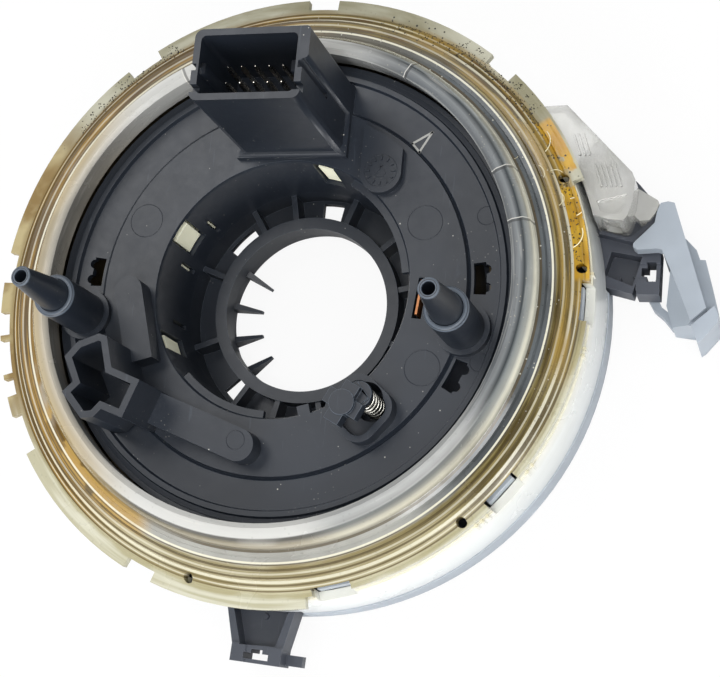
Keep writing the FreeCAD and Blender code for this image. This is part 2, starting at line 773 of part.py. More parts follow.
def build_sensor():
    """Board, chip, light barriers and the slotted ring that they read."""
    under = REAR + D.case_wall + 1.0
    board = ring("board_ring", BOARD_INNER, BOARD_OUTER, under, D.board_thick, start=-70, sweep=180)
    node("sensor_board", board)
    top = under + D.board_thick
    middle = (BOARD_INNER + BOARD_OUTER) / 2
    x, y = polar(middle + 2, 45)
    chip = centred("chip", x, y, top, D.chip_side, D.chip_side, D.chip_height, 45)
    regulator = centred("regulator", *polar(middle + 1.5, 5), top, D.regulator_length, D.regulator_width,
                        D.regulator_height, 5)
    node("sensor_chips", group("sensor_chips", [chip, regulator]))
    edge = SKIRT_RADIUS + 0.1 + D.ring_reach
    barriers = []
    for angle in (-20, 65):
        body = spoke("barrier", angle, edge - 2.6, edge + 4, D.barrier_width, top, D.barrier_height)
        slot = spoke("barrier_slot", angle, edge - 3, edge + 0.5, D.barrier_width + 1, top + 0.7,
                     D.ring_thick + 0.6)
        barriers.append(cut("light_barrier", body, [slot]))
    node("light_barriers", group("light_barriers", barriers))
    inner = SKIRT_RADIUS + 0.1
    disc = ring("slotted_ring", inner, edge, top + 0.7 + 0.3, D.ring_thick)
    slots = []
    for index in range(CODE_SLOTS):
        slots.append(spoke("ring_slot", 360 / CODE_SLOTS * index, edge - 0.8 - D.ring_slot_length,
                           edge - 0.8, D.ring_slot_width, top, 3))
    node("code_ring", cut("code_ring", disc, slots))


def tower_foot(name, z, height):
    """The wheel connector's foot outline, kept inside the rotor's bead."""
    slab = block(f"{name}_slab", D.tower_x - D.tower_width / 2 - 0.3,
                 D.tower_y - D.tower_depth / 2 - D.foot_margin, z, D.tower_width + D.tower_step + 0.3,
                 D.tower_depth + D.foot_margin, height)
    disc = cylinder(f"{name}_disc", BEAD_RADIUS - 0.3, lift(z) - 1, lift(height) + 2)
    return common(name, slab, disc)


def rounded_square(name, side, radius, z, height, x, y, turn):
    """A square block with rounded uprights, turned about its middle."""
    body = centred(f"{name}_block", x, y, z, side, side, height, turn.value)
    return round_uprights(name, body, radius)


def build_rotor_plate():
    """Black rotor: text band, bead and rim outside, the well's wall inside."""
    under = FACE - D.plate_thick
    rim = LIP_RADIUS - D.rotor_gap
    foot = lift(0.4)
    points = [
        (WELL_FOOT_RADIUS, foot),
        (WELL_RADIUS - 0.4, FACE - 0.8),
        (WELL_RADIUS, FACE),
        (GROOVE_RADIUS - 0.3, FACE),
        (GROOVE_RADIUS, FACE - D.band_drop - 0.3),
        (GROOVE_RADIUS + 0.4, FACE - D.band_drop),
        (BEAD_RADIUS - 0.3, FACE - D.band_drop),
        (BEAD_RADIUS, FACE - D.band_drop + D.bead_rise),
        (BEAD_RADIUS + D.bead_width, FACE - D.band_drop + D.bead_rise),
        (BEAD_RADIUS + D.bead_width + 0.3, FACE - D.band_drop),
        (rim - 1.0, FACE - D.band_drop - 0.1),
        (rim - 0.9, FACE - D.band_drop - D.rim_step),
        (rim, FACE - D.band_drop - D.rim_step),
        (rim, under - 1.2),
        (rim - 1.4, under - 1.2),
        (rim - 1.4, under),
        (WELL_RADIUS + D.hub_wall, under),
        (SKIRT_RADIUS, foot),
    ]
    shell = turned("rotor_shell", points)
    boss_top = D.lock_rise
    parts = [shell]
    parts.append(rounded_square("lock_pad", D.pad_side, D.pad_round, under, D.plate_thick + boss_top,
                                D.pad_x, D.pad_y, D.pad_turn))
    parts.append(cylinder("lock_cup", D.lock_cup_radius, under - D.lock_cup_depth,
                          D.plate_thick + D.lock_cup_depth, D.lock_x, D.lock_y))
    date_height = D.plate_thick + D.date_rise
    date = fuse("date_boss_whole", [
        cylinder("date_boss_end", D.date_radius, under, date_height, D.date_x, D.date_y),
        block("date_boss", D.date_x - D.date_radius, D.date_y, under, 2 * D.date_radius, 10.0, date_height),
    ])
    parts.append(common("date_boss_trim", date, cylinder("date_limit", GROOVE_RADIUS - 1.4, under - 1,
                                                         D.plate_thick + 4)))
    for start, end in LIP_SECTORS:
        parts.append(ring("well_lip", WELL_FOOT_RADIUS - D.lip_reach + 0.8, WELL_RADIUS + 0.8,
                          FACE - 1.9, D.lip_thick, start=start, sweep=end - start))
    parts.append(spoke("stop_tab", -73, WELL_RADIUS - 1.8, WELL_RADIUS + 2, 2.2, FACE - 1.6, 1.6))
    for x, y in ((D.left_post_x, D.left_post_y), (D.right_post_x, D.right_post_y)):
        parts.append(cylinder("post_seat", D.post_radius + 0.9, under, D.plate_thick + D.post_seat, x, y))
    parts.append(tower_foot("tower_seat", under, D.plate_thick))
    body = fuse("rotor_body", parts)
    tools = []
    floor = under - D.lock_cup_depth + 1.2
    tools.append(cylinder("lock_pocket", D.lock_cup_radius - D.lock_wall, floor, 30, D.lock_x, D.lock_y))
    tools.append(rounded_square("pad_pocket", D.pad_side - 2 * D.lock_wall, D.pad_round - D.lock_wall,
                                FACE - 0.8, lift(30), D.pad_x, D.pad_y, D.pad_turn))
    for start, end in HUB_WINDOWS:
        tools.append(ring("hub_window", WELL_FOOT_RADIUS - 3, WELL_RADIUS + D.hub_wall + 0.4,
                          FACE - D.window_foot, D.window_foot - D.window_rim,
                          start=start, sweep=end - start))
    for angle in HUB_SLOTS:
        tools.append(ring("hub_slot", WELL_FOOT_RADIUS - 3, WELL_RADIUS + D.hub_wall + 0.4,
                          FACE - D.slot_foot, D.slot_rise, start=angle - 1, sweep=2))
    slot_out = GROOVE_RADIUS + 0.9 + D.slot_width
    for start, end in BAND_SLOTS:
        tools.append(ring("band_slot", slot_out - D.slot_width, slot_out, under - 1,
                          D.plate_thick + 2, start=start, sweep=end - start))
        for angle in (start + 2, end - 2):
            tools.append(cylinder("slot_scallop", D.slot_width / 2.6, under - 1, D.plate_thick + 2,
                                  *polar(slot_out, angle)))
    tools.append(centred("leaf_slot", LEAF_X, D.leaf_y, under - 1, D.leaf_thick + 1.3,
                         D.leaf_width + 1.2, D.plate_thick + 2, D.leaf_turn))
    node("rotor_plate", cut("rotor_plate", body, tools))
    return floor


def build_rotor_sleeve():
    """Lower rotor: shaft collar, radial ribs, floor with windows, skirt and fins."""
    collar = D.bore_radius + D.collar_width
    top = lift(0.4)
    low = -D.sleeve_depth + 1.0
    floor_top = -D.floor_depth
    points = [
        (D.bore_radius, -D.bore_length),
        (D.bore_radius + D.collar_width / 2, -D.bore_length),
        (D.bore_radius + D.collar_width / 2, -D.sleeve_depth),
        (collar, -D.sleeve_depth),
        (collar, floor_top - D.floor_thick),
        (WELL_FOOT_RADIUS, floor_top - D.floor_thick),
        (WELL_FOOT_RADIUS, low),
        (SKIRT_RADIUS, low),
        (SKIRT_RADIUS, top),
        (WELL_FOOT_RADIUS, top),
        (WELL_FOOT_RADIUS, floor_top),
        (collar, floor_top),
        (collar, 0),
        (D.bore_radius, 0),
    ]
    shell = turned("sleeve_shell", points)
    parts = [shell]
    for angle in RIB_ANGLES:
        parts.append(spoke("rib", angle, collar - 0.5, WELL_FOOT_RADIUS + 0.4, D.rib_thick,
                           floor_top - 0.2, D.floor_depth + 0.2 - 0.4))
    root = D.bore_radius + D.collar_width / 2 + 0.3
    rise = D.sleeve_depth - D.bore_length - D.fin_drop
    for angle in FIN_ANGLES:
        x, y = polar(root, angle)
        near = (D.fin_root * -0.5, D.fin_root * 0.5, rise)
        far = (D.fin_root * -0.2, D.fin_root * 0.2, D.fin_tip)
        parts.append(wedge("fin", x, y, -D.sleeve_depth, angle + 90,
                           D.fin_length + D.collar_width / 2 + 0.3, near, far))
    body = fuse("sleeve_body", parts)
    tools = []
    for start, end in FLOOR_WINDOWS:
        tools.append(ring("floor_window", collar + 0.5, WELL_FOOT_RADIUS - 0.7,
                          floor_top - D.floor_thick - 1, D.floor_thick + 1.5,
                          start=start, sweep=end - start))
    node("rotor_sleeve", cut("rotor_sleeve", body, tools))


def tower_keyways(name):
    """The two grooves in the ends of the wheel connector's shroud."""
    out = D.tower_width / 2 - D.key_depth / 2 + 0.3
    return [centred(name, D.tower_x + side * out, D.tower_y - 0.4, FACE + D.tower_height - D.key_length,
                    D.key_depth + 0.6, D.key_width, D.key_length + 6) for side in (-1, 1)]


def build_wheel_connector():
    """Tall keyed shroud for the steering wheel's harness, and its twelve pins."""
    wide = D.tower_width
    deep = D.tower_depth
    tall = D.tower_height
    tower = round_uprights("tower_round", centred("tower", D.tower_x, D.tower_y, FACE, wide, deep, tall),
                           D.corner_radius)
    foot = tower_foot("tower_plate", FACE, D.tower_foot)
    step = block("tower_rib", D.tower_x + wide / 2 - 2, D.tower_y + 0.6, FACE, D.tower_step + 2,
                 deep / 2 - 0.6, tall)
    body = fuse("tower_body", [tower, foot, round_uprights("tower_rib_round", step, D.corner_radius / 2)])
    inside = round_uprights("tower_cavity_round",
                            centred("tower_cavity", D.tower_x, D.tower_y, FACE + D.tower_floor,
                                    wide - 2 * D.tower_wall, deep - 2 * D.tower_wall, tall),
                            D.corner_radius - 0.6)
    tools = [inside] + tower_keyways("tower_key")
    keys = []
    for side in (-1, 1):
        tools.append(centred("tower_nick", D.tower_x + side * (wide / 2 - D.tower_wall / 2),
                             D.tower_y - deep / 2 + 2.2, FACE + tall - D.nick_depth, D.tower_wall * 1.5,
                             D.nick_width, D.nick_depth + 2))
        keys.append(centred("inner_key", D.tower_x + side * (wide / 2 - D.tower_wall - 0.4),
                            D.tower_y - 0.4, FACE + D.tower_floor - 0.2, D.key_depth + 0.4,
                            D.key_width + 0.8, tall - D.tower_floor - 0.6))
    shroud = cut("tower_shroud", body, tools)
    inner_keys = cut("inner_keys", fuse("key_ribs", keys), tower_keyways("key_trim"))
    node("wheel_connector", fuse("wheel_connector", [shroud, inner_keys]))
    pins = []
    for column in range(6):
        for row in range(2):
            x = D.tower_x + D.pin_pitch * (column - 2.5)
            y = D.tower_y + D.row_shift + D.row_pitch * (row - 0.5)
            pins.append(pin("wheel_pin", x, y, FACE + D.tower_floor, D.pin_rise, 1))
    node("wheel_pins", group("wheel_pins", pins))


def pin(name, x, y, z, rise, way, turn=0):
    """A square pin with a tapered tip; way is 1 for up and -1 for down."""
    size = D.pin_size
    taper = D.pin_taper
    shank = centred(name, x, y, z if way > 0 else z - rise + taper, size, size, rise - taper, turn)
    tip = doc.addObject("Part::Wedge", f"{name}_tip")
    wide = lift(size)
    narrow = wide / 4
    for prop, value in (("Xmin", 0), ("Zmin", 0), ("Xmax", wide), ("Zmax", wide), ("Ymin", 0),
                        ("X2min", wide / 2 - narrow / 2), ("Z2min", wide / 2 - narrow / 2),
                        ("X2max", wide / 2 + narrow / 2), ("Z2max", wide / 2 + narrow / 2),
                        ("Ymax", taper)):
        bind(tip, prop, value)
    angle = lift(turn).value
    spin = FreeCAD.Rotation(FreeCAD.Vector(0, 0, 1), angle)
    tilt = FreeCAD.Rotation(FreeCAD.Vector(1, 0, 0), 90 * way)
    corner = FreeCAD.Vector(-wide.value / 2, wide.value / 2 * way, 0)
    base_z = lift(z) + (rise - taper if way > 0 else taper - rise)
    offset = spin.multVec(corner)
    tip.Placement = FreeCAD.Placement(FreeCAD.Vector(0, 0, 0), spin.multiply(tilt))
    bind(tip, "Placement.Base.x", lift(x) + offset.x)
    bind(tip, "Placement.Base.y", lift(y) + offset.y)
    bind(tip, "Placement.Base.z", base_z)
    return fuse(f"{name}_whole", [shank, tip])


AIRBAG_PLAN = ((-0.207, 0.493), (-0.100, 0.500), (0.127, 0.193), (0.520, 0.193), (0.520, -0.280),
               (0.233, -0.287), (0.187, -0.407), (0.047, -0.480), (-0.320, -0.293), (-0.247, -0.133),
               (-0.487, 0.093), (-0.413, 0.307))
AIRBAG_PINS = ((-0.187, 0.173), (-0.040, 0.173), (0.253, -0.047), (0.253, -0.173))


def airbag_leg(name, spot, turn, run, width):
    """A raised leg with a round end, run along a direction from a spot."""
    x, y = along(*spot, turn, run)
    return [beam(name, spot, turn, 0, run, width, FACE, D.leg_height),
            cylinder(f"{name}_end", width / 2, FACE, D.leg_height, x, y)]


def build_airbag_connector():
    """Keyed two-lobed shroud with two raised legs over its conductors."""
    outline = share(AIRBAG_PLAN, D.airbag_length, D.airbag_width)
    tall = D.airbag_height
    spot = (D.airbag_x, D.airbag_y)
    turn = D.airbag_turn.value
    shroud = pulled("airbag_shell", outline, FACE, tall, *spot, D.airbag_turn)
    hollow = pulled("airbag_hollow", outline, FACE + D.airbag_floor, tall, *spot, D.airbag_turn,
                    -D.airbag_wall)
    parts = [shroud]
    parts += airbag_leg("leg_long", along(*spot, turn, D.leg_start, -0.2), turn,
                        D.leg_long - D.leg_start - D.leg_width / 2, D.leg_width)
    # the short leg runs beside the left guide post
    start = (D.airbag_x + D.short_leg_x, D.airbag_y + D.short_leg_y)
    lean = D.short_leg_turn.value
    slim = D.leg_width - D.leg_slim
    parts += airbag_leg("leg_short", along(*start, lean, -0.4), lean, D.leg_short - 4.0, slim)
    node("airbag_connector", cut("airbag_connector", fuse("airbag_whole", parts), [hollow]))
    pins = []
    for run, across in share(AIRBAG_PINS, D.airbag_length, D.airbag_width):
        x, y = along(*spot, turn, run, across)
        pins.append(pin("airbag_pin", x, y, FACE + D.airbag_floor, D.airbag_pin_rise, 1, turn))
    node("airbag_pins", group("airbag_pins", pins))


def build_post(name, x, y):
    """Hollow guide post: a tube with a bored cone that rises from inside it."""
    seat = FACE + D.post_seat
    tube = FACE + D.post_tube
    tip = FACE + D.tower_height
    points = [
        (0, seat),
        (D.post_radius, seat),
        (D.post_radius, tube - 0.4),
        (D.post_radius - 0.4, tube),
        (D.post_radius - 0.9, tube),
        (D.post_radius - 0.9, tube - 0.7),
        (D.post_tip_radius + 0.1, tip - 0.2),
        (D.post_tip_radius, tip),
        (D.post_bore_radius, tip),
        (D.post_bore_radius, tube - 2),
        (0, tube - 2),
    ]
    body = turned(f"{name}_body", points)
    move(body, x, y, 0)
    node(name, body)


def build_lock(floor):
    """Sprung centre lock: a pin with a crossed head, pressed down by the wheel."""
    head_top = FACE + D.lock_head_rise
    head_low = head_top - D.lock_head_thick
    foot = floor + D.lock_travel + 0.5
    bridge_x = (D.lock_x + D.lock_head_x) / 2
    bridge_y = (D.lock_y + D.lock_head_y) / 2
    parts = [
        cylinder("lock_stem", D.lock_stem_radius, foot, head_low - foot + 0.2, D.lock_x, D.lock_y),
        cylinder("lock_collar", D.spring_radius + 0.5, head_low - 0.1, 1.2, D.lock_x, D.lock_y),
        centred("lock_bridge", bridge_x, bridge_y, head_low, D.lock_bridge_length, D.lock_bridge_width,
                D.lock_bridge_thick, D.lock_bridge_turn),
        cylinder("lock_hub", D.lock_hub_radius, head_low, D.lock_head_thick + 0.3, D.lock_head_x,
                 D.lock_head_y),
        centred("lock_bar", D.lock_head_x, D.lock_head_y, head_low, D.lock_head_span, D.lock_head_bar,
                D.lock_head_thick, D.lock_head_turn),
        centred("lock_cross", D.lock_head_x, D.lock_head_y, head_low, D.lock_head_bar,
                D.lock_head_span * 0.9, D.lock_head_thick * 0.85, D.lock_head_turn),
    ]
    node("lock_pin", fuse("lock_pin", parts))
    low = floor + 0.35
    high = head_low - 0.1 - 0.35
    helix = doc.addObject("Part::Helix", "spring_line")
    bind(helix, "Height", high - low)
    bind(helix, "Pitch", (high - low) / D.spring_turns)
    bind(helix, "Radius", D.spring_radius)
    wire = doc.addObject("Part::Circle", "spring_section")
    bind(wire, "Radius", D.spring_wire)
    wire.Placement = FreeCAD.Placement(FreeCAD.Vector(D.spring_radius.value, 0, 0),
                                       FreeCAD.Rotation(FreeCAD.Vector(1, 0, 0), 90))
    bind(wire, "Placement.Base.x", D.spring_radius)
    coil = doc.addObject("Part::Sweep", "lock_spring")
    coil.Sections = [wire]
    coil.Spine = (helix, [])
    coil.Solid = True
    coil.Frenet = True
    move(coil, D.lock_x, D.lock_y, low)
    node("lock_spring", coil)


def build_ribbon_core():
    """Cream ring on the well's wall that the ribbon is wound from."""
    inner = WELL_RADIUS + D.hub_wall + D.core_gap - 0.2
    tube = ring("core_tube", inner, inner + D.core_wall, 1.0, FACE - D.plate_thick - 1.0 - 0.4)
    tools = [cylinder("core_relief", D.lock_cup_radius + 0.5, 7.0, 10, D.lock_x, D.lock_y)]
    for angle in CORE_NOTCHES:
        tools.append(spoke("core_notch", angle, inner - 1, inner + 4, 3, 8.5, 6))
    tools.append(centred("leaf_relief", LEAF_X, D.leaf_y, FACE - D.leaf_drop, 5, 9, 8, D.leaf_turn))
    lugs = []
    low = FACE - D.window_foot + D.lug_gap
    tall = D.window_foot - D.plate_thick - 0.4 - D.lug_gap
    for start, end in HUB_WINDOWS:
        lugs.append(ring("core_lug", WELL_RADIUS, inner + 0.3, low, tall, start=start + 1,
                         sweep=end - start - 2))
    for angle in HUB_SLOTS:
        lugs.append(ring("core_rib", WELL_RADIUS, inner + 0.3, FACE - D.slot_foot + D.lug_gap,
                         D.slot_rise - 2 * D.lug_gap, start=angle - 0.5, sweep=1))
    node("ribbon_core", fuse("ribbon_core", [cut("core_shell", tube, tools)] + lugs))


def spiral(inner, thick, pitch, turns, z, width):
    """A flat cable's spiral of half circles struck in turn from two centres."""
    shift = pitch / 2
    near = []
    far = []
    for half in range(int(round(turns * 2))):
        side = 1 if half % 2 == 0 else -1
        middle = 0 if half % 2 == 0 else shift
        for edges, reach in ((near, inner + half * shift), (far, inner + half * shift + thick)):
            start = FreeCAD.Vector(middle + side * reach, 0, z)
            top = FreeCAD.Vector(middle, side * reach, z)
            end = FreeCAD.Vector(middle - side * reach, 0, z)
            edges.append(Part.Arc(start, top, end).toShape())
    first = Part.makeLine(near[0].Vertexes[0].Point, far[0].Vertexes[0].Point)
    last = Part.makeLine(near[-1].Vertexes[-1].Point, far[-1].Vertexes[-1].Point)
    wire = Part.Wire(Part.__sortEdges__(near + far + [first, last]))
    return Part.Face(wire).extrude(FreeCAD.Vector(0, 0, width))


def build_ribbon():
    """Flat cable coil between the rotor and the clear cover, and its tail."""
    foot = (CARRIER_TOP + D.seat_gap).value
    width = D.ribbon_width.value
    thick = D.ribbon_thick.value
    inner = RIBBON_INNER.value
    start = CORE_OUTER.value
    coil = doc.addObject("Part::Feature", "ribbon_coil")
    pitch = (ROOM - D.ribbon_gap - D.ribbon_thick - RIBBON_INNER).value / D.ribbon_turns.value
    turns = spiral(inner, thick, pitch, D.ribbon_turns.value, foot, width)
    lead = Part.makeBox(inner - start + thick, thick, width, FreeCAD.Vector(start, -thick / 2, foot))
    coil.Shape = turns.fuse(lead).removeSplitter()
    node("ribbon_coil", coil)
    half = D.ribbon_thick / 2
    line = share(TAIL_LINE, D.duct_length, D.duct_width)
    outline = [(x, y - half) for x, y in line]
    outline += [(x, y + half) for x, y in reversed(line)]
    node("ribbon_tail", pulled("ribbon_tail", outline, TAIL_FOOT + 0.2, TAIL_ROOM - 0.4,
                               DUCT_X, D.duct_y, D.duct_turn))


def build_leaf():
    """Copper contact leaf that shows in its slot beside the right post."""
    parts = [
        centred("leaf_blade", LEAF_X, D.leaf_y, FACE - D.leaf_drop, D.leaf_thick, D.leaf_width,
                D.leaf_tall, D.leaf_turn),
        centred("leaf_fold", LEAF_X + D.leaf_fold / 2 - 0.1, D.leaf_y - D.leaf_width * 0.29,
                FACE - D.leaf_drop, D.leaf_fold, D.leaf_width * 0.32, D.leaf_thick + 0.1, D.leaf_turn),
    ]
    node("contact_leaf", fuse("contact_leaf", parts))


def skirt(foot, tall):
    """Tapered cheek on the connector's side next to the snap arm."""
    x, y = along(PLUG_X, D.plug_y, D.plug_turn.value, D.plug_length * 0.35, D.plug_width * -0.22)
    near = (0, D.plug_length * 0.5, tall - 0.4)
    far = (D.plug_length * 0.06, D.plug_length * 0.22, tall * 0.58)
    return wedge("plug_cheek", x, y, foot, D.plug_turn + 180, D.plug_width * 0.4, near, far)


def build_column_connector():
    """Light grey shroud for the column harness; it opens to the rear."""
    foot = REAR + 0.2
    tall = D.plug_top - foot
    turn = D.plug_turn.value
    spot = (PLUG_X, D.plug_y)
    parts = [
        placed_plug("plug_bar", PLUG_BAR, foot, tall),
        placed_plug("plug_lobe", PLUG_LOBE, D.plug_top - D.plug_lobe, D.plug_lobe),
        placed_plug("plug_ledge", PLUG_LEDGE, foot, tall - D.plug_step),
        placed_plug("plug_end", PLUG_END, foot, tall - D.plug_step / 6),
        placed_plug("plug_latch", PLUG_LATCH, foot, ARM_FOOT - D.seat_gap - foot),
        skirt(foot, tall),
    ]
    low = D.plug_length * -0.038
    high = D.plug_length * 0.33 - D.plug_wall
    inner = D.plug_width * -0.31
    outer = D.plug_width * 0.40 - D.plug_wall
    depth = tall - D.plug_step - D.plug_roof
    cavity = pulled("plug_cavity", [(low, inner), (high, inner), (high, outer), (low, outer)], foot - 1,
                    depth + 1, PLUG_X, D.plug_y, D.plug_turn)
    x, y = along(*spot, turn, D.plug_length * 0.295, D.plug_width * 0.04)
    groove = centred("plug_groove", x, y, D.plug_top - 1.6, 0.5, D.plug_width, 3, turn + 25)
    node("column_connector", cut("column_connector", fuse("plug_whole", parts), [cavity, groove]))
    roof = foot + depth
    pins = []
    middle = (inner + outer) / 2
    for column in range(5):
        for row in range(2):
            run = D.plug_pitch * (column - 2) + (low + high) / 2
            x, y = along(spot[0], spot[1], turn, run, middle + D.plug_pitch * (row - 0.5))
            pins.append(pin("column_pin", x, y, roof, D.plug_pin_rise, -1, turn))
    node("column_pins", group("column_pins", pins))


def build_duct():
    """Clear cover over the ribbon's way out to the column connector."""
    tall = D.duct_top - DUCT_FOOT
    parts = [
        placed_duct("duct_shell", DUCT_PLAN, DUCT_FOOT, tall),
        placed_duct("duct_low_end", DUCT_LOW, DUCT_FOOT, D.duct_low - DUCT_FOOT),
    ]
    turn = D.duct_turn.value
    spot = (DUCT_X, D.duct_y)
    for middle, count in ((-0.17, 3), (0.115, 5)):
        for index in range(count):
            step = index - (count - 1) / 2
            run = D.duct_length * middle + D.rib_pitch * 0.64 * step
            x, y = along(*spot, turn, run, D.duct_width * -0.03 + D.rib_pitch * 0.77 * step)
            parts.append(centred("duct_rib", x, y, D.duct_top - 0.2, D.duct_width * 0.25, D.duct_rib,
                                 D.duct_rib + 0.2, turn - 21))
    tools = [
        placed_duct("duct_core", DUCT_ROOM, DUCT_FOOT + D.duct_wall, tall - 2 * D.duct_wall),
        placed_duct("duct_window", DUCT_WINDOW, DUCT_FOOT + D.duct_wall, tall - 3.0),
        placed_duct("duct_recess", DUCT_RECESS, D.duct_top - 0.7, 2),
        cylinder("duct_root", WALL_FOOT_RADIUS + 0.15, DUCT_FOOT - 1, tall + 3),
        placed_duct("duct_rim_gap", SHELF_WALL, WALL_FOOT, D.carrier_thick + D.shelf_rise + D.seat_gap,
                    D.seat_play * 4),
        placed_plug("duct_clearance", PLUG_BAR, REAR - 1, 30, D.seat_play),
        placed_plug("duct_lobe_clearance", PLUG_LOBE, D.plug_top - D.plug_lobe - 0.3, D.plug_lobe + 0.6,
                    D.seat_gap),
    ]
    node("duct_cover", cut("duct_cover", fuse("duct_body", parts), tools))


def finish():
    """Check every object, then write each sub-part."""
    doc.recompute()
    for feature in doc.Objects:
        if "Invalid" in feature.State or "Error" in feature.State:
            raise RuntimeError(f"{feature.Name} failed: {feature.State}")
    for feature in NODES:
        shape = feature.Shape
        if shape.isNull() or not shape.isValid():
            raise RuntimeError(f"{feature.Label} has no valid shape")
        print(feature.Label, len(shape.Solids), round(shape.Volume, 1), shape.BoundBox)
        shape.exportStep(f"parts/{feature.Label}.step")


build_stator_cover()
build_rear_case()
build_sensor_housing()
build_sensor()
lock_floor = build_rotor_plate()
build_rotor_sleeve()
build_wheel_connector()
build_airbag_connector()
build_post("left_post", D.left_post_x, D.left_post_y)
build_post("right_post", D.right_post_x, D.right_post_y)
build_lock(lock_floor)
build_ribbon_core()
build_ribbon()
build_leaf()
build_column_connector()
build_duct()
finish()
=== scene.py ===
"""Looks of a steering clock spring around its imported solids, in metres."""

import logging
import math
from dataclasses import dataclass
from enum import Enum
from functools import reduce
from typing import Dict, Optional, Sequence, Tuple

import bmesh
import bpy
from mathutils import Matrix, Vector


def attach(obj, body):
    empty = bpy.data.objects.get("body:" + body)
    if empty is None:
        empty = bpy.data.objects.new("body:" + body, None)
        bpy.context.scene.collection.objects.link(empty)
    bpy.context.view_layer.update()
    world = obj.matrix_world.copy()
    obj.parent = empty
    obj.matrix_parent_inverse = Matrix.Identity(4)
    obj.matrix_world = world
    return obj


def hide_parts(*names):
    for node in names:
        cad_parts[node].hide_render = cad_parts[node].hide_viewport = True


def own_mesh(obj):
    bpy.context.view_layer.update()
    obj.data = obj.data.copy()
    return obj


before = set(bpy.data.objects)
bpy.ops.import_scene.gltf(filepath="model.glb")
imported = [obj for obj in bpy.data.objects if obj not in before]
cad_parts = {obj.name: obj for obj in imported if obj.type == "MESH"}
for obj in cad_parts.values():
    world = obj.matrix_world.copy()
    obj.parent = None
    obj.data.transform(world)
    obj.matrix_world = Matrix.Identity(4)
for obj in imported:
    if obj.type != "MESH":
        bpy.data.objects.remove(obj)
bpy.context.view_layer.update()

LOG = logging.getLogger("clock_spring")
MM = 0.001
PER_CM2 = 1e4
Colour = Tuple[float, float, float]
Point = Tuple[float, float, float]
Spot = Tuple[float, float]
Stop = Tuple[float, int, int, int]
Zone = Tuple[float, float, float]
Socket = bpy.types.NodeSocket


class Body(Enum):
    """The moving bodies that pieces ride on."""

    STATOR = "stator"
    ROTOR = "rotor"
    LOCK = "lock"


class Slot(Enum):
    """The record's material slots."""

    CLEAR = "clear_plastic"
    GREY = "grey_plastic"
    DARK = "dark_plastic"
    BLACK = "black_plastic"
    CREAM = "cream_plastic"
    FILM = "ribbon_film"
    BOARD = "board"
    CHIP = "chip_resin"
    TINNED = "tinned_metal"
    SPRING = "spring_steel"
    COPPER = "copper"


def rgb(red: int, green: int, blue: int) -> Colour:
    """Linear colour of a display colour given as 0 to 255."""
    return tuple(((v / 255 + 0.055) / 1.055) ** 2.4 if v > 10 else v / 255 / 12.92
                 for v in (red, green, blue))


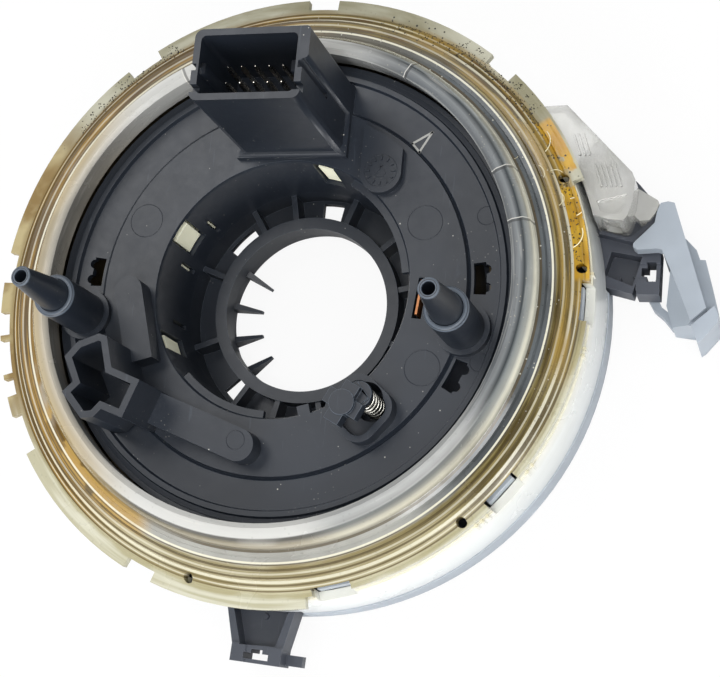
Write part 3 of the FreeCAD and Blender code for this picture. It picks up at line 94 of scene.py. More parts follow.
class Shader:
    """A node material with short calls for the nodes that finishes use.

    A dot is full out to dot_core of its radius, and dot_choice softens which cells hold one.
    """

    dot_core: float = 0.6
    dot_choice: float = 0.02

    def __init__(self, name: str) -> None:
        """Start an empty material with a Principled shader.

        Args:
            name: the material's name.
        """
        self.material = bpy.data.materials.new(name)
        self.material.use_nodes = True
        self.tree = self.material.node_tree
        self.surface = self.tree.nodes["Principled BSDF"]
        self.coords = self.tree.nodes.new("ShaderNodeTexCoord").outputs["Object"]

    def put(self, socket: Socket, value: object) -> None:
        """Link a socket, or set its value if a plain one is given.

        Args:
            socket: a node's input.
            value: a socket to link, or a number or colour to set.
        """
        if isinstance(value, bpy.types.NodeSocket):
            self.tree.links.new(value, socket)
        elif isinstance(value, tuple) and len(value) == 3 and socket.type == "RGBA":
            socket.default_value = (*value, 1.0)
        else:
            socket.default_value = value

    def set(self, **sockets: object) -> None:
        """Set or link Principled sockets; underscores stand for blanks."""
        for name, value in sockets.items():
            self.put(self.surface.inputs[name.replace("_", " ")], value)

    def maths(self, operation: str, first: object, second: object = 0.0, clamp: bool = False) -> Socket:
        """A Math node's result.

        Args:
            operation: the Math node's operation.
            first: socket or number.
            second: socket or number.
            clamp: keep the result between 0 and 1.

        Returns:
            The result's socket.
        """
        node = self.tree.nodes.new("ShaderNodeMath")
        node.operation = operation
        node.use_clamp = clamp
        self.put(node.inputs[0], first)
        self.put(node.inputs[1], second)
        return node.outputs[0]

    def chain(self, operation: str, values: Sequence[object]) -> Socket:
        """One Math operation after another over sockets or numbers."""
        return reduce(lambda first, second: self.maths(operation, first, second), values)

    def times(self, *values: object) -> Socket:
        """The product of several sockets or numbers."""
        return self.chain("MULTIPLY", values)

    def plus(self, *values: object) -> Socket:
        """The sum of several sockets or numbers."""
        return self.chain("ADD", values)

    def most(self, *values: object) -> Socket:
        """The largest of several sockets or numbers."""
        return self.chain("MAXIMUM", values)

    def swing(self, noise: Socket, reach: float) -> Socket:
        """A noise as an offset to both sides of 0, reach wide in all."""
        return self.times(self.maths("SUBTRACT", noise, 0.5), reach)

    def mix(self, factor: object, first: object, second: object) -> Socket:
        """Mix two colours.

        Args:
            factor: socket or number.
            first: colour at 0.
            second: colour at 1.

        Returns:
            The colour's socket.
        """
        node = self.tree.nodes.new("ShaderNodeMix")
        node.data_type = "RGBA"
        # The colour sockets of a Mix node share their names with others, so they are taken by place.
        for place, value in ((0, factor), (6, first), (7, second)):
            self.put(node.inputs[place], value)
        return node.outputs[2]

    def lay(self, base: object, colour: object, *masks: object) -> Socket:
        """Lay a colour over a base as far as the masks let it."""
        return self.mix(self.times(*masks), base, colour)

    def fade(self, factor: object, start: float, end: float, first: object, second: object) -> Socket:
        """Ease from a first colour at start to a second one at end."""
        return self.mix(self.spread(factor, start, end), first, second)

    def noise(self, scale: float, detail: float = 3.0, rough: float = 0.5, vector: object = None,
              distortion: float = 0.0) -> Socket:
        """Noise in object space, or in the vector that is given.

        Args:
            scale: patches in a unit of the vector.
            detail: how many finer layers it has.
            rough: how strong the finer layers are.
            vector: coordinates, or none for object space.
            distortion: how far the pattern is warped.

        Returns:
            The noise's socket.
        """
        node = self.tree.nodes.new("ShaderNodeTexNoise")
        self.put(node.inputs["Vector"], vector or self.coords)
        for name, value in (("Scale", scale), ("Detail", detail), ("Roughness", rough),
                            ("Distortion", distortion)):
            node.inputs[name].default_value = value
        return node.outputs["Fac"]

    def dots(self, scale: float, size: float, share: float) -> Socket:
        """Scattered dots: 1 inside them and 0 outside.

        Args:
            scale: cells in a metre.
            size: a dot's radius as a share of its cell.
            share: how many of the cells hold a dot, from 0 to 1.

        Returns:
            The mask's socket.
        """
        node = self.tree.nodes.new("ShaderNodeTexVoronoi")
        self.put(node.inputs["Vector"], self.coords)
        node.inputs["Scale"].default_value = scale
        inside = self.spread(node.outputs["Distance"], size, size * self.dot_core)
        chosen = self.spread(self.parts(node.outputs["Color"])[0], share, share - self.dot_choice)
        return self.times(inside, chosen)

    def ramp(self, factor: object, stops: Sequence[Stop]) -> Socket:
        """A colour ramp with straight runs between its stops.

        Args:
            factor: socket that drives it.
            stops: each stop's place and display colour, in order.

        Returns:
            The colour's socket.
        """
        node = self.tree.nodes.new("ShaderNodeValToRGB")
        bar = node.color_ramp
        bar.interpolation = "LINEAR"
        while len(bar.elements) < len(stops):
            bar.elements.new(0.5)
        for element, (place, *tones) in zip(bar.elements, stops):
            element.position = place
            element.color = (*rgb(*tones), 1.0)
        self.put(node.inputs[0], factor)
        return node.outputs[0]

    def band(self, factor: object, low: float, high: float, soft: float) -> Socket:
        """1 between low and high, falling to 0 over soft on both sides."""
        return self.times(self.spread(factor, low - soft, low), self.spread(factor, high + soft, high))

    def spread(self, factor: object, start: float, end: float) -> Socket:
        """Ease from 0 to 1.

        Args:
            factor: the socket that is followed.
            start: where the result is 0.
            end: where it is 1, before or after start.

        Returns:
            The result's socket.
        """
        node = self.tree.nodes.new("ShaderNodeMapRange")
        node.interpolation_type = "SMOOTHSTEP"
        for name, value in (("Value", factor), ("From Min", start), ("From Max", end)):
            self.put(node.inputs[name], value)
        return node.outputs["Result"]

    def parts(self, vector: object) -> Tuple[Socket, ...]:
        """A vector's three numbers.

        Args:
            vector: the vector's socket.

        Returns:
            The sockets of X, Y and Z.
        """
        node = self.tree.nodes.new("ShaderNodeSeparateXYZ")
        self.put(node.inputs[0], vector)
        return tuple(node.outputs)

    def join(self, *numbers: object) -> Socket:
        """A vector from three numbers.

        Args:
            numbers: sockets or numbers for X, Y and Z.

        Returns:
            The vector's socket.
        """
        node = self.tree.nodes.new("ShaderNodeCombineXYZ")
        for socket, value in zip(node.inputs, numbers):
            self.put(socket, value)
        return node.outputs[0]

    def bump(self, height: object, distance: float, strength: float = 1.0, normal: object = None) -> Socket:
        """A bump from a height.

        Args:
            height: the height's socket.
            distance: metres for a height of 1.
            strength: the bump's strength.
            normal: a bump that lies under it, if any.

        Returns:
            The normal's socket.
        """
        node = self.tree.nodes.new("ShaderNodeBump")
        for name, value in (("Distance", distance), ("Strength", strength), ("Height", height)):
            self.put(node.inputs[name], value)
        if normal:
            self.put(node.inputs["Normal"], normal)
        return node.outputs[0]

    def eased_edge(self) -> Socket:
        """1 on the narrow faces that ease a piece's edges.

        Returns:
            The mask's socket.
        """
        node = self.tree.nodes.new("ShaderNodeAttribute")
        node.attribute_name = "edge"
        return node.outputs["Fac"]


@dataclass(frozen=True)
class Moulded:
    """Moulded plastic: fine spark-eroded grain, edges lightened as a painted highlight, and settled dust."""

    name: str
    slot: Slot
    colour: Colour
    pale: Colour
    roughness: float
    dust: float = 0.85
    edge_highlight: float = 0.75
    cloud: float = 1.45
    scuff: float = 0.35
    scratch_runs: Zone = (1800.0, 110.0, 300.0)
    grain: float = 0.000008
    sink: float = 0.00004

    def make(self) -> bpy.types.Material:
        """Build the material.

        Returns:
            The material.
        """
        s = Shader(self.name)
        lighter = tuple(tone * self.cloud for tone in self.colour)
        base = s.fade(s.noise(38.0, 3.0, 0.55), 0.30, 0.72, self.colour, lighter)
        streak = s.noise(150.0, 6.0, 0.72, distortion=1.4)
        worn = s.times(s.spread(streak, 0.60, 0.82), self.scuff)
        base = s.lay(base, self.pale, worn, 0.45)
        # The eased edges are lightened towards pale: a painted highlight.
        base = s.lay(base, self.pale, s.eased_edge(), self.edge_highlight)
        drawn = (s.times(part, run) for part, run in zip(s.parts(s.coords), self.scratch_runs))
        scratch = s.noise(1.0, 2.0, 0.5, s.join(*drawn))
        base = s.lay(base, self.pale, s.spread(scratch, 0.70, 0.74), self.scuff, 0.35)
        specks = s.times(s.dots(800.0, 0.10, 0.10), 0.6)
        haze = s.times(s.dots(1500.0, 0.20, 0.35), s.spread(s.noise(60.0, 3.0), 0.56, 0.70), 0.35)
        base = s.lay(base, rgb(198, 196, 188), s.most(s.dots(330.0, 0.052, 0.30), specks, haze), self.dust)
        rough = s.plus(s.swing(s.noise(420.0, 5.0, 0.7), 0.20), self.roughness)
        rough = s.maths("ADD", rough, s.times(worn, 0.12), clamp=True)
        skin = s.bump(s.noise(2600.0, 3.0, 0.6), self.grain)
        skin = s.bump(s.noise(120.0, 2.0), self.sink, 0.3, skin)
        s.set(Base_Color=base, Roughness=rough, Normal=skin)
        return s.material


@dataclass(frozen=True)
class Metal:
    """Drawn or stamped metal with fine lines along Z."""

    name: str
    slot: Slot
    colour: Colour
    dull: Colour
    roughness: float
    squeeze: float = 6.0
    line_depth: float = 0.00001

    def make(self) -> bpy.types.Material:
        """Build the material.

        Returns:
            The material.
        """
        s = Shader(self.name)
        x, y, z = s.parts(s.coords)
        lines = s.noise(900.0, 4.0, 0.7, s.join(s.times(x, self.squeeze), s.times(y, self.squeeze), z))
        tarnish = s.spread(s.noise(260.0, 4.0, 0.6), 0.45, 0.75)
        rough = s.plus(s.times(lines, 0.25), self.roughness - 0.1, s.times(tarnish, 0.15))
        s.set(Base_Color=s.mix(tarnish, self.colour, self.dull), Roughness=rough, Metallic=1.0,
              Normal=s.bump(lines, self.line_depth, 0.6))
        return s.material


class RingShader(Shader):
    """A shader whose pattern follows the turning axis, in millimetres and degrees."""

    lean: float = 0.6
    spoke_sector: Spot = (20, 5)
    circle_soft: float = 0.05

    def __init__(self, name: str) -> None:
        """Start the material and measure radius, height and direction.

        Args:
            name: the material's name.
        """
        super().__init__(name)
        self.x, self.y, z = self.parts(self.coords)
        square = self.plus(self.times(self.x, self.x), self.times(self.y, self.y))
        root = self.maths("SQRT", self.plus(square, 1e-12))
        self.radius = self.times(root, 1 / MM)
        self.up = self.times(z, 1 / MM)
        self.cos = self.maths("DIVIDE", self.x, root)
        self.sin = self.maths("DIVIDE", self.y, root)

    def towards(self, degrees: float) -> Socket:
        """Cosine of the angle away from a direction."""
        turn = math.radians(degrees)
        return self.plus(self.times(self.cos, math.cos(turn)), self.times(self.sin, math.sin(turn)))

    def sector(self, middle: float, half: float, soft: float) -> Socket:
        """1 within half of a direction, in degrees, falling to 0 over soft."""
        edge, inside = math.radians(min(half + soft, 180)), math.radians(half)
        return self.spread(self.towards(middle), math.cos(edge), math.cos(inside))

    def patch_of(self, sector: Zone, low: float, high: float, soft: float) -> Socket:
        """1 inside a sector and between two radii."""
        return self.times(self.sector(*sector), self.band(self.radius, low, high, soft))

    def spoke(self, degrees: float, half_width: float) -> Socket:
        """A thin line along a radius.

        Args:
            degrees: the line's direction.
            half_width: half its width, in millimetres.

        Returns:
            The mask's socket.
        """
        turn = math.radians(degrees)
        across = self.maths("SUBTRACT", self.times(self.y, math.cos(turn) * 1000),
                            self.times(self.x, math.sin(turn) * 1000))
        line = self.spread(self.maths("ABSOLUTE", across), half_width, half_width * 0.5)
        return self.times(line, self.sector(degrees, *self.spoke_sector))

    def circle(self, radius: float, half_width: float) -> Socket:
        """A thin line at a radius, in millimetres."""
        return self.band(self.radius, radius - half_width, radius + half_width, self.circle_soft)

    def drawn(self, round_scale: float, radial_scale: float, detail: float = 3.0,
              rough: float = 0.5, warp: float = 0.0) -> Socket:
        """Noise drawn out round the axis.

        Args:
            round_scale: patches in a radian.
            radial_scale: patches in a millimetre of radius.
            detail: noise detail.
            rough: noise roughness.
            warp: noise distortion.

        Returns:
            The noise's socket.
        """
        outwards = self.times(self.plus(self.radius, self.times(self.up, self.lean)), radial_scale)
        place = self.join(self.times(self.cos, round_scale), self.times(self.sin, round_scale), outwards)
        return self.noise(1.0, detail, rough, place, warp)


class CupShader(RingShader):
    """The cup's shader, with the noises that its zones share."""

    def __init__(self, name: str) -> None:
        """Start the material and add its wide patches, its rings and its blobs.

        Args:
            name: the material's name.
        """
        super().__init__(name)
        self.patch = self.drawn(2.4, 0.16, 4.0, 0.55, 0.4)
        self.run = self.drawn(3.0, 1.3, 3.0, 0.5)
        self.blob = self.noise(125.0, 3.0, 0.5, distortion=0.4)


@dataclass(frozen=True)
class ClearCup:
    """Clear plastic of the cup: painted highlight and painted shade rings where it bends and steps, and crept
    grease.

    Radii, heights and widths are in millimetres. A pair that is named "to" is where one zone
    starts to give way to the next, and where it has.
    """

    name: str = "hazed_cup"
    slot: Slot = Slot.CLEAR
    crest_inner: float = 42.8
    crest_width: float = 4.3
    to_steps: Spot = (46.95, 47.05)
    to_flange: Spot = (53.75, 53.95)
    to_top: Spot = (10.7, 10.9)
    wall_foot: float = -2.2
    wall_height: float = 13.0
    joints: Tuple[float, ...] = (60.2, 26.6, 14.0, 118.0)
    # Circles of painted shade in the grooves, and of painted highlight on the lips, by radius and half width;
    # a lip also has a share.
    groove_shades: Tuple[Spot, ...] = ((47.25, 0.20), (49.45, 0.08), (50.25, 0.16), (51.58, 0.14),
                                 (52.75, 0.13), (53.70, 0.10))
    lip_highlights: Tuple[Zone, ...] = ((49.12, 0.15, 1.0), (50.92, 0.14, 0.5), (52.22, 0.20, 0.8),
                              (53.25, 0.10, 0.6))

    def make(self) -> bpy.types.Material:
        """Build the material.

        Returns:
            The material.
        """
        s = CupShader(self.name)
        colour = self.crest(s)
        colour = s.fade(s.radius, *self.to_steps, colour, self.steps(s))
        colour = s.fade(s.radius, *self.to_flange, colour, self.flange(s))
        colour = self.ochre(s, colour)
        colour = s.fade(s.up, *self.to_top, self.wall(s), colour)
        greasy = s.times(s.sector(135, 75, 25), s.spread(s.radius, 46.6, 47.2), 0.34)
        rough = s.plus(s.times(s.spread(s.blob, 0.4, 0.7), 0.20), 0.12, greasy)
        skin = s.bump(s.run, 0.00008, 0.4)
        skin = s.bump(s.noise(700.0, 4.0, 0.6), 0.00002, 0.5, skin)
        s.set(Base_Color=colour, Roughness=rough, Normal=skin, Transmission_Weight=0.08, IOR=1.46,
              Coat_Weight=0.16, Coat_Roughness=0.06)
        return s.material

    def crest(self, s: CupShader) -> Socket:
        """Rings of the crest from a silver ramp, a ramp on the right and a warm ramp on the left, with painted
        highlight and painted shade bands, and its few joint lines.

        Args:
            s: the cup's shader.

        Returns:
            The colour's socket.
        """
        place = s.times(s.maths("SUBTRACT", s.radius, self.crest_inner), 1 / self.crest_width)
        # The bright stops of these ramps are painted highlights and their dark stops painted shade, where the
        # crest bends.
        silver = s.ramp(place, (
            (0.00, 200, 200, 196), (0.62, 214, 214, 210), (0.67, 80, 78, 72), (0.74, 76, 73, 64),
            (0.82, 140, 134, 120), (0.92, 176, 168, 148), (1.00, 70, 66, 50)))
        right_ramp = s.ramp(place, (
            (0.00, 170, 172, 170), (0.08, 104, 108, 112), (0.36, 134, 138, 140), (0.56, 52, 58, 62),
            (0.68, 130, 136, 136), (0.82, 164, 166, 158), (0.91, 246, 244, 226), (1.00, 80, 78, 68)))
        warm = s.ramp(place, (
            (0.00, 120, 116, 108), (0.20, 200, 190, 170), (0.45, 178, 160, 122), (0.70, 190, 168, 120),
            (0.88, 166, 138, 78), (1.00, 96, 78, 36)))
        colour = s.lay(silver, warm, s.sector(186, 34, 26), 0.8)
        colour = s.lay(colour, right_ramp, s.most(s.sector(18, 40, 26), s.times(s.sector(-45, 20, 14), 0.5)))
        colour = s.lay(colour, rgb(96, 96, 92), s.spread(s.patch, 0.50, 0.72), 0.30)
        colour = s.lay(colour, rgb(240, 238, 230), s.spread(s.run, 0.56, 0.72), 0.22)
        colour = s.lay(colour, rgb(90, 90, 88), s.spread(s.run, 0.44, 0.30), s.sector(30, 70, 30), 0.25)
        # Each joint is a dark line with a painted highlight on its edge beside it.
        for degrees in self.joints:
            colour = s.lay(colour, rgb(60, 60, 60), s.spoke(degrees, 0.30), 0.60)
            colour = s.lay(colour, rgb(232, 230, 222), s.spoke(degrees + 0.5, 0.10), 0.8)
        dusty = s.times(s.dots(1500.0, 0.20, 0.40), s.sector(36, 44, 16), s.spread(s.patch, 0.34, 0.56))
        return s.lay(colour, rgb(196, 190, 172), dusty, 0.55)

    def steps(self, s: CupShader) -> Socket:
        """The three steps: grey where clean, gold to brown where grease has crept, with painted shade in the
        grooves and painted highlights on the lips.

        Args:
            s: the cup's shader.

        Returns:
            The colour's socket.
        """
        north, east, west = s.sector(88, 44, 26), s.sector(8, 44, 26), s.sector(163, 58, 26)
        inner = s.fade(s.patch, 0.35, 0.65, rgb(182, 182, 176), rgb(156, 155, 148))
        inner = s.mix(north, inner, s.fade(s.patch, 0.40, 0.60, rgb(140, 132, 104), rgb(98, 94, 82)))
        inner = s.mix(east, inner, s.fade(s.patch, 0.35, 0.65, rgb(100, 106, 110), rgb(76, 80, 82)))
        gold = s.fade(s.run, 0.38, 0.66, rgb(92, 68, 14), rgb(156, 120, 36))
        inner = s.lay(inner, gold, west, s.spread(s.patch, 0.26, 0.46))
        outer = s.fade(s.run, 0.36, 0.64, rgb(146, 134, 96), rgb(182, 174, 142))
        outer = s.mix(north, outer, s.fade(s.run, 0.38, 0.64, rgb(88, 72, 24), rgb(148, 130, 68)))
        outer = s.mix(east, outer, s.fade(s.run, 0.38, 0.64, rgb(84, 72, 36), rgb(150, 136, 86)))
        outer = s.mix(west, outer, gold)
        colour = s.fade(s.plus(s.radius, s.swing(s.patch, 1.2)), 49.3, 49.8, inner, outer)
        tan = s.times(s.sector(-133, 15, 6), s.spread(s.blob, 0.46, 0.52), s.band(s.radius, 47.1, 50.4, 0.3))
        colour = s.lay(colour, rgb(184, 150, 78), tan, 0.85)
        brown = s.times(s.spread(s.drawn(6.0, 1.9, 4.0, 0.6), 0.55, 0.62), s.sector(110, 70, 26),
                        s.spread(s.radius, 49.6, 50.8))
        colour = s.lay(colour, rgb(92, 62, 24), brown, 0.80)
        # Dark circles are painted shade in the grooves, bright circles painted highlights on the lips.
        dark = s.most(*(s.circle(radius, half) for radius, half in self.groove_shades))
        colour = s.lay(colour, rgb(84, 70, 40), dark, s.spread(s.run, 0.20, 0.50), 0.75)
        light = s.most(*(s.times(s.circle(radius, half), share) for radius, half, share in self.lip_highlights))
        colour = s.lay(colour, rgb(238, 234, 212), light, s.spread(s.patch, 0.18, 0.42), 0.9)
        colour = s.lay(colour, rgb(36, 34, 28), s.dots(1700.0, 0.26, 0.30), s.sector(30, 50, 20), 0.6)
        return s.lay(colour, rgb(206, 204, 192), s.dots(900.0, 0.16, 0.35), s.sector(35, 50, 20), 0.8)

    def flange(self, s: CupShader) -> Socket:
        """Milky flange, tinted at its root.

        Args:
            s: the cup's shader.

        Returns:
            The colour's socket.
        """
        top = s.fade(s.patch, 0.35, 0.65, rgb(186, 184, 164), rgb(134, 129, 98))
        low = s.fade(s.run, 0.35, 0.65, rgb(186, 182, 154), rgb(212, 210, 190))
        west = s.fade(s.blob, 0.40, 0.62, rgb(178, 162, 114), rgb(132, 106, 50))
        colour = s.mix(s.sector(-80, 62, 22), s.mix(s.sector(185, 30, 16), top, west), low)
        tint = s.mix(s.sector(-75, 60, 20), rgb(124, 102, 46), rgb(164, 154, 110))
        root = s.spread(s.plus(s.radius, s.swing(s.blob, 2.4)), 55.1, 54.1)
        return s.lay(colour, tint, root, 0.6)

    def ochre(self, s: CupShader, colour: Socket) -> Socket:
        """Thick ochre grease on the right, and grit that sticks in the grease.

        Args:
            s: the cup's shader.
            colour: what lies under it.

        Returns:
            The colour's socket.
        """
        edge = s.spread(s.noise(210.0, 3.0, 0.55, distortion=0.6), 0.40, 0.44)
        thick = s.most(s.patch_of((12, 8.5, 1.5), 52.6, 55.7, 0.3),
                       s.patch_of((29.5, 5.0, 1.2), 53.7, 56.2, 0.3))
        tone = s.fade(s.blob, 0.35, 0.65, rgb(182, 134, 16), rgb(212, 168, 34))
        colour = s.lay(colour, tone, thick, edge, 0.94)
        fringe = s.times(s.patch_of((26, 36, 10), 50.6, 54.2, 0.8), s.spread(s.run, 0.40, 0.60))
        colour = s.lay(colour, rgb(158, 126, 44), fringe, 0.65)
        crowd = s.most(s.patch_of((46, 26, 8), 51.8, 55.8, 0.6), s.patch_of((132, 14, 6), 53.2, 56.0, 0.5),
                       s.patch_of((10, 12, 4), 52.6, 54.4, 0.5), 0.10)
        grit = s.most(s.dots(1100.0, 0.26, 0.45), s.dots(640.0, 0.17, 0.35))
        return s.lay(colour, rgb(30, 25, 18), grit, crowd, s.spread(s.blob, 0.34, 0.46))

    def wall(self, s: CupShader) -> Socket:
        """Milk white side wall, greyer towards the rear cup.

        Args:
            s: the cup's shader.

        Returns:
            The colour's socket.
        """
        wall = s.ramp(s.times(s.plus(s.up, -self.wall_foot), 1 / self.wall_height), (
            (0.0, 206, 211, 214), (0.25, 226, 230, 230), (0.62, 240, 243, 240),
            (0.86, 244, 243, 232), (1.0, 232, 226, 196)))
        return s.lay(wall, rgb(206, 206, 196), s.spread(s.patch, 0.45, 0.70), 0.20)


@dataclass(frozen=True)
class ClearDuct:
    """Clean clear plastic with slight haze, as on the duct, with painted shade along its eased edges."""

    name: str = "clear_duct"
    slot: Slot = Slot.CLEAR

    def make(self) -> bpy.types.Material:
        """Build the material.

        Returns:
            The material.
        """
        s = Shader(self.name)
        haze = s.noise(120.0, 4.0, 0.6)
        base = s.fade(haze, 0.30, 0.75, rgb(236, 236, 230), rgb(250, 250, 248))
        # The eased edges are darkened as painted shade.
        base = s.lay(base, rgb(134, 134, 118), s.eased_edge(), 0.75)
        skin = s.bump(s.noise(260.0, 3.0), 0.00006, 0.4)
        s.set(Base_Color=base, Roughness=s.plus(s.times(haze, 0.08), 0.01), Normal=skin,
              Transmission_Weight=0.60, IOR=1.49, Coat_Weight=1.0, Coat_Roughness=0.03)
        return s.material


FINISHES = {finish.name: finish for finish in (
    ClearCup(), ClearDuct(),
    Moulded("black_moulded", Slot.BLACK, rgb(30, 35, 43), rgb(98, 108, 120), 0.38),
    Moulded("dark_moulded", Slot.DARK, rgb(60, 64, 73), rgb(140, 146, 157), 0.42),
    Moulded("grey_moulded", Slot.GREY, rgb(146, 154, 163), rgb(204, 209, 215), 0.42, dust=0.1, edge_highlight=0.4),
    # The cream is set brighter than the part's own colour, as painted light where it sits deep in the well.
    Moulded("cream_moulded", Slot.CREAM, rgb(250, 249, 222), rgb(254, 254, 240), 0.40, dust=0.1),
    Moulded("printed_mark", Slot.CREAM, rgb(150, 150, 146), rgb(196, 196, 190), 0.50, dust=0.2),
    Moulded("crumbs", Slot.DARK, rgb(34, 29, 22), rgb(80, 70, 56), 0.70, dust=0.0),
    Moulded("lint", Slot.CLEAR, rgb(214, 206, 170), rgb(236, 232, 208), 0.60, dust=0.0),
    Moulded("film", Slot.FILM, rgb(78, 68, 50), rgb(140, 128, 98), 0.35, dust=0.1),
    Moulded("lacquer", Slot.BOARD, rgb(22, 84, 56), rgb(60, 130, 96), 0.30, dust=0.1),
    Moulded("resin", Slot.CHIP, rgb(26, 26, 28), rgb(80, 80, 82), 0.50, dust=0.3),
    Metal("tinned", Slot.TINNED, rgb(236, 230, 218), rgb(170, 156, 136), 0.22),
    Metal("drawn_steel", Slot.SPRING, rgb(196, 194, 186), rgb(120, 114, 104), 0.26),
    Metal("copper_leaf", Slot.COPPER, rgb(178, 122, 84), rgb(96, 66, 46), 0.40),
)}
MATERIALS = {name: finish.make() for name, finish in FINISHES.items()}


def new_object(name: str, data: bpy.types.ID) -> bpy.types.Object:
    """Put new data in the scene.

    Args:
        name: the object's name.
        data: its mesh, lamp or camera.

    Returns:
        The object.
    """
    thing = bpy.data.objects.new(name, data)
    bpy.context.scene.collection.objects.link(thing)
    return thing


def plain_mesh(thing: bpy.types.Object, name: str) -> bpy.types.Mesh:
    """The evaluated mesh of an object that is then removed.

    Args:
        thing: an object with live modifiers.
        name: the new mesh's name.

    Returns:
        The mesh.
    """
    graph = bpy.context.evaluated_depsgraph_get()
    graph.update()
    mesh = bpy.data.meshes.new_from_object(thing.evaluated_get(graph), depsgraph=graph)
    mesh.name = name
    bpy.data.objects.remove(thing)
    return mesh


def sharpen(mesh: bpy.types.Mesh, angle: float = 34.0) -> bpy.types.Mesh:
    """Smooth a mesh, keep edges above an angle sharp and let large faces look flat.

    Args:
        mesh: the mesh.
        angle: degrees above which an edge stays sharp.

    Returns:
        A mesh with weighted normals.
    """
    for face in mesh.polygons:
        face.use_smooth = True
    mesh.set_sharp_from_angle(angle=math.radians(angle))
    thing = new_object("weighted", mesh)
    weigh = thing.modifiers.new("weigh", "WEIGHTED_NORMAL")
    weigh.mode = "FACE_AREA"
    weigh.weight = 50
    weigh.keep_sharp = True
    return plain_mesh(thing, mesh.name)


def plain_piece(name: str, mesh: bpy.types.Mesh, finish: str, body: Body) -> bpy.types.Object:
    """Put a finished mesh in the scene as a piece.

    Args:
        name: the piece's name.
        mesh: its mesh, in place.
        finish: the finish's name.
        body: the body it rides on.

    Returns:
        The object.
    """
    mesh.materials.clear()
    mesh.materials.append(MATERIALS[finish])
    piece = new_object(name, mesh)
    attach(piece, body.value)
    LOG.info("%s: %d faces", name, len(mesh.polygons))
    return piece


def mesh_of(name: str, work: bmesh.types.BMesh) -> bpy.types.Mesh:
    """A new mesh from a finished edit.

    Args:
        name: the mesh's name.
        work: the edit, which is freed.

    Returns:
        The mesh.
    """
    mesh = bpy.data.meshes.new(name)
    work.to_mesh(mesh)
    work.free()
    return mesh


@dataclass(frozen=True)
class Easing:
    """How a moulded node's sharp edges are eased; lengths in metres, angles in degrees."""

    width: float
    sharp: float = 34.0
    flat: float = 0.6
    merge: float = 2e-6
    sliver: float = 1e-6
    segments: int = 2
    fullness: float = 0.6

    def copy(self, node: str) -> bpy.types.Mesh:
        """A merged copy of a node's mesh with its sharp edges eased.

        The faces that ease an edge carry 1 in the attribute "edge".

        Args:
            node: the node's name.

        Returns:
            The mesh.
        """
        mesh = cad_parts[node].data.copy()
        mesh.name = f"{node}_eased"
        work = bmesh.new()
        work.from_mesh(mesh)
        bmesh.ops.remove_doubles(work, verts=work.verts, dist=self.merge)
        bmesh.ops.dissolve_limit(work, angle_limit=math.radians(self.flat), verts=work.verts,
                                 edges=work.edges)
        mark = work.faces.layers.float.new("edge")
        limit = math.radians(self.sharp)
        edges = [e for e in work.edges if e.is_manifold and e.calc_face_angle(0) > limit]
        made = bmesh.ops.bevel(work, geom=edges, offset=self.width, offset_type="OFFSET", affect="EDGES",
                               segments=self.segments, profile=self.fullness, clamp_overlap=True)
        for face in made["faces"]:
            face[mark] = 1.0
        bmesh.ops.dissolve_degenerate(work, dist=self.sliver, edges=work.edges)
        work.to_mesh(mesh)
        work.free()
        return sharpen(mesh)


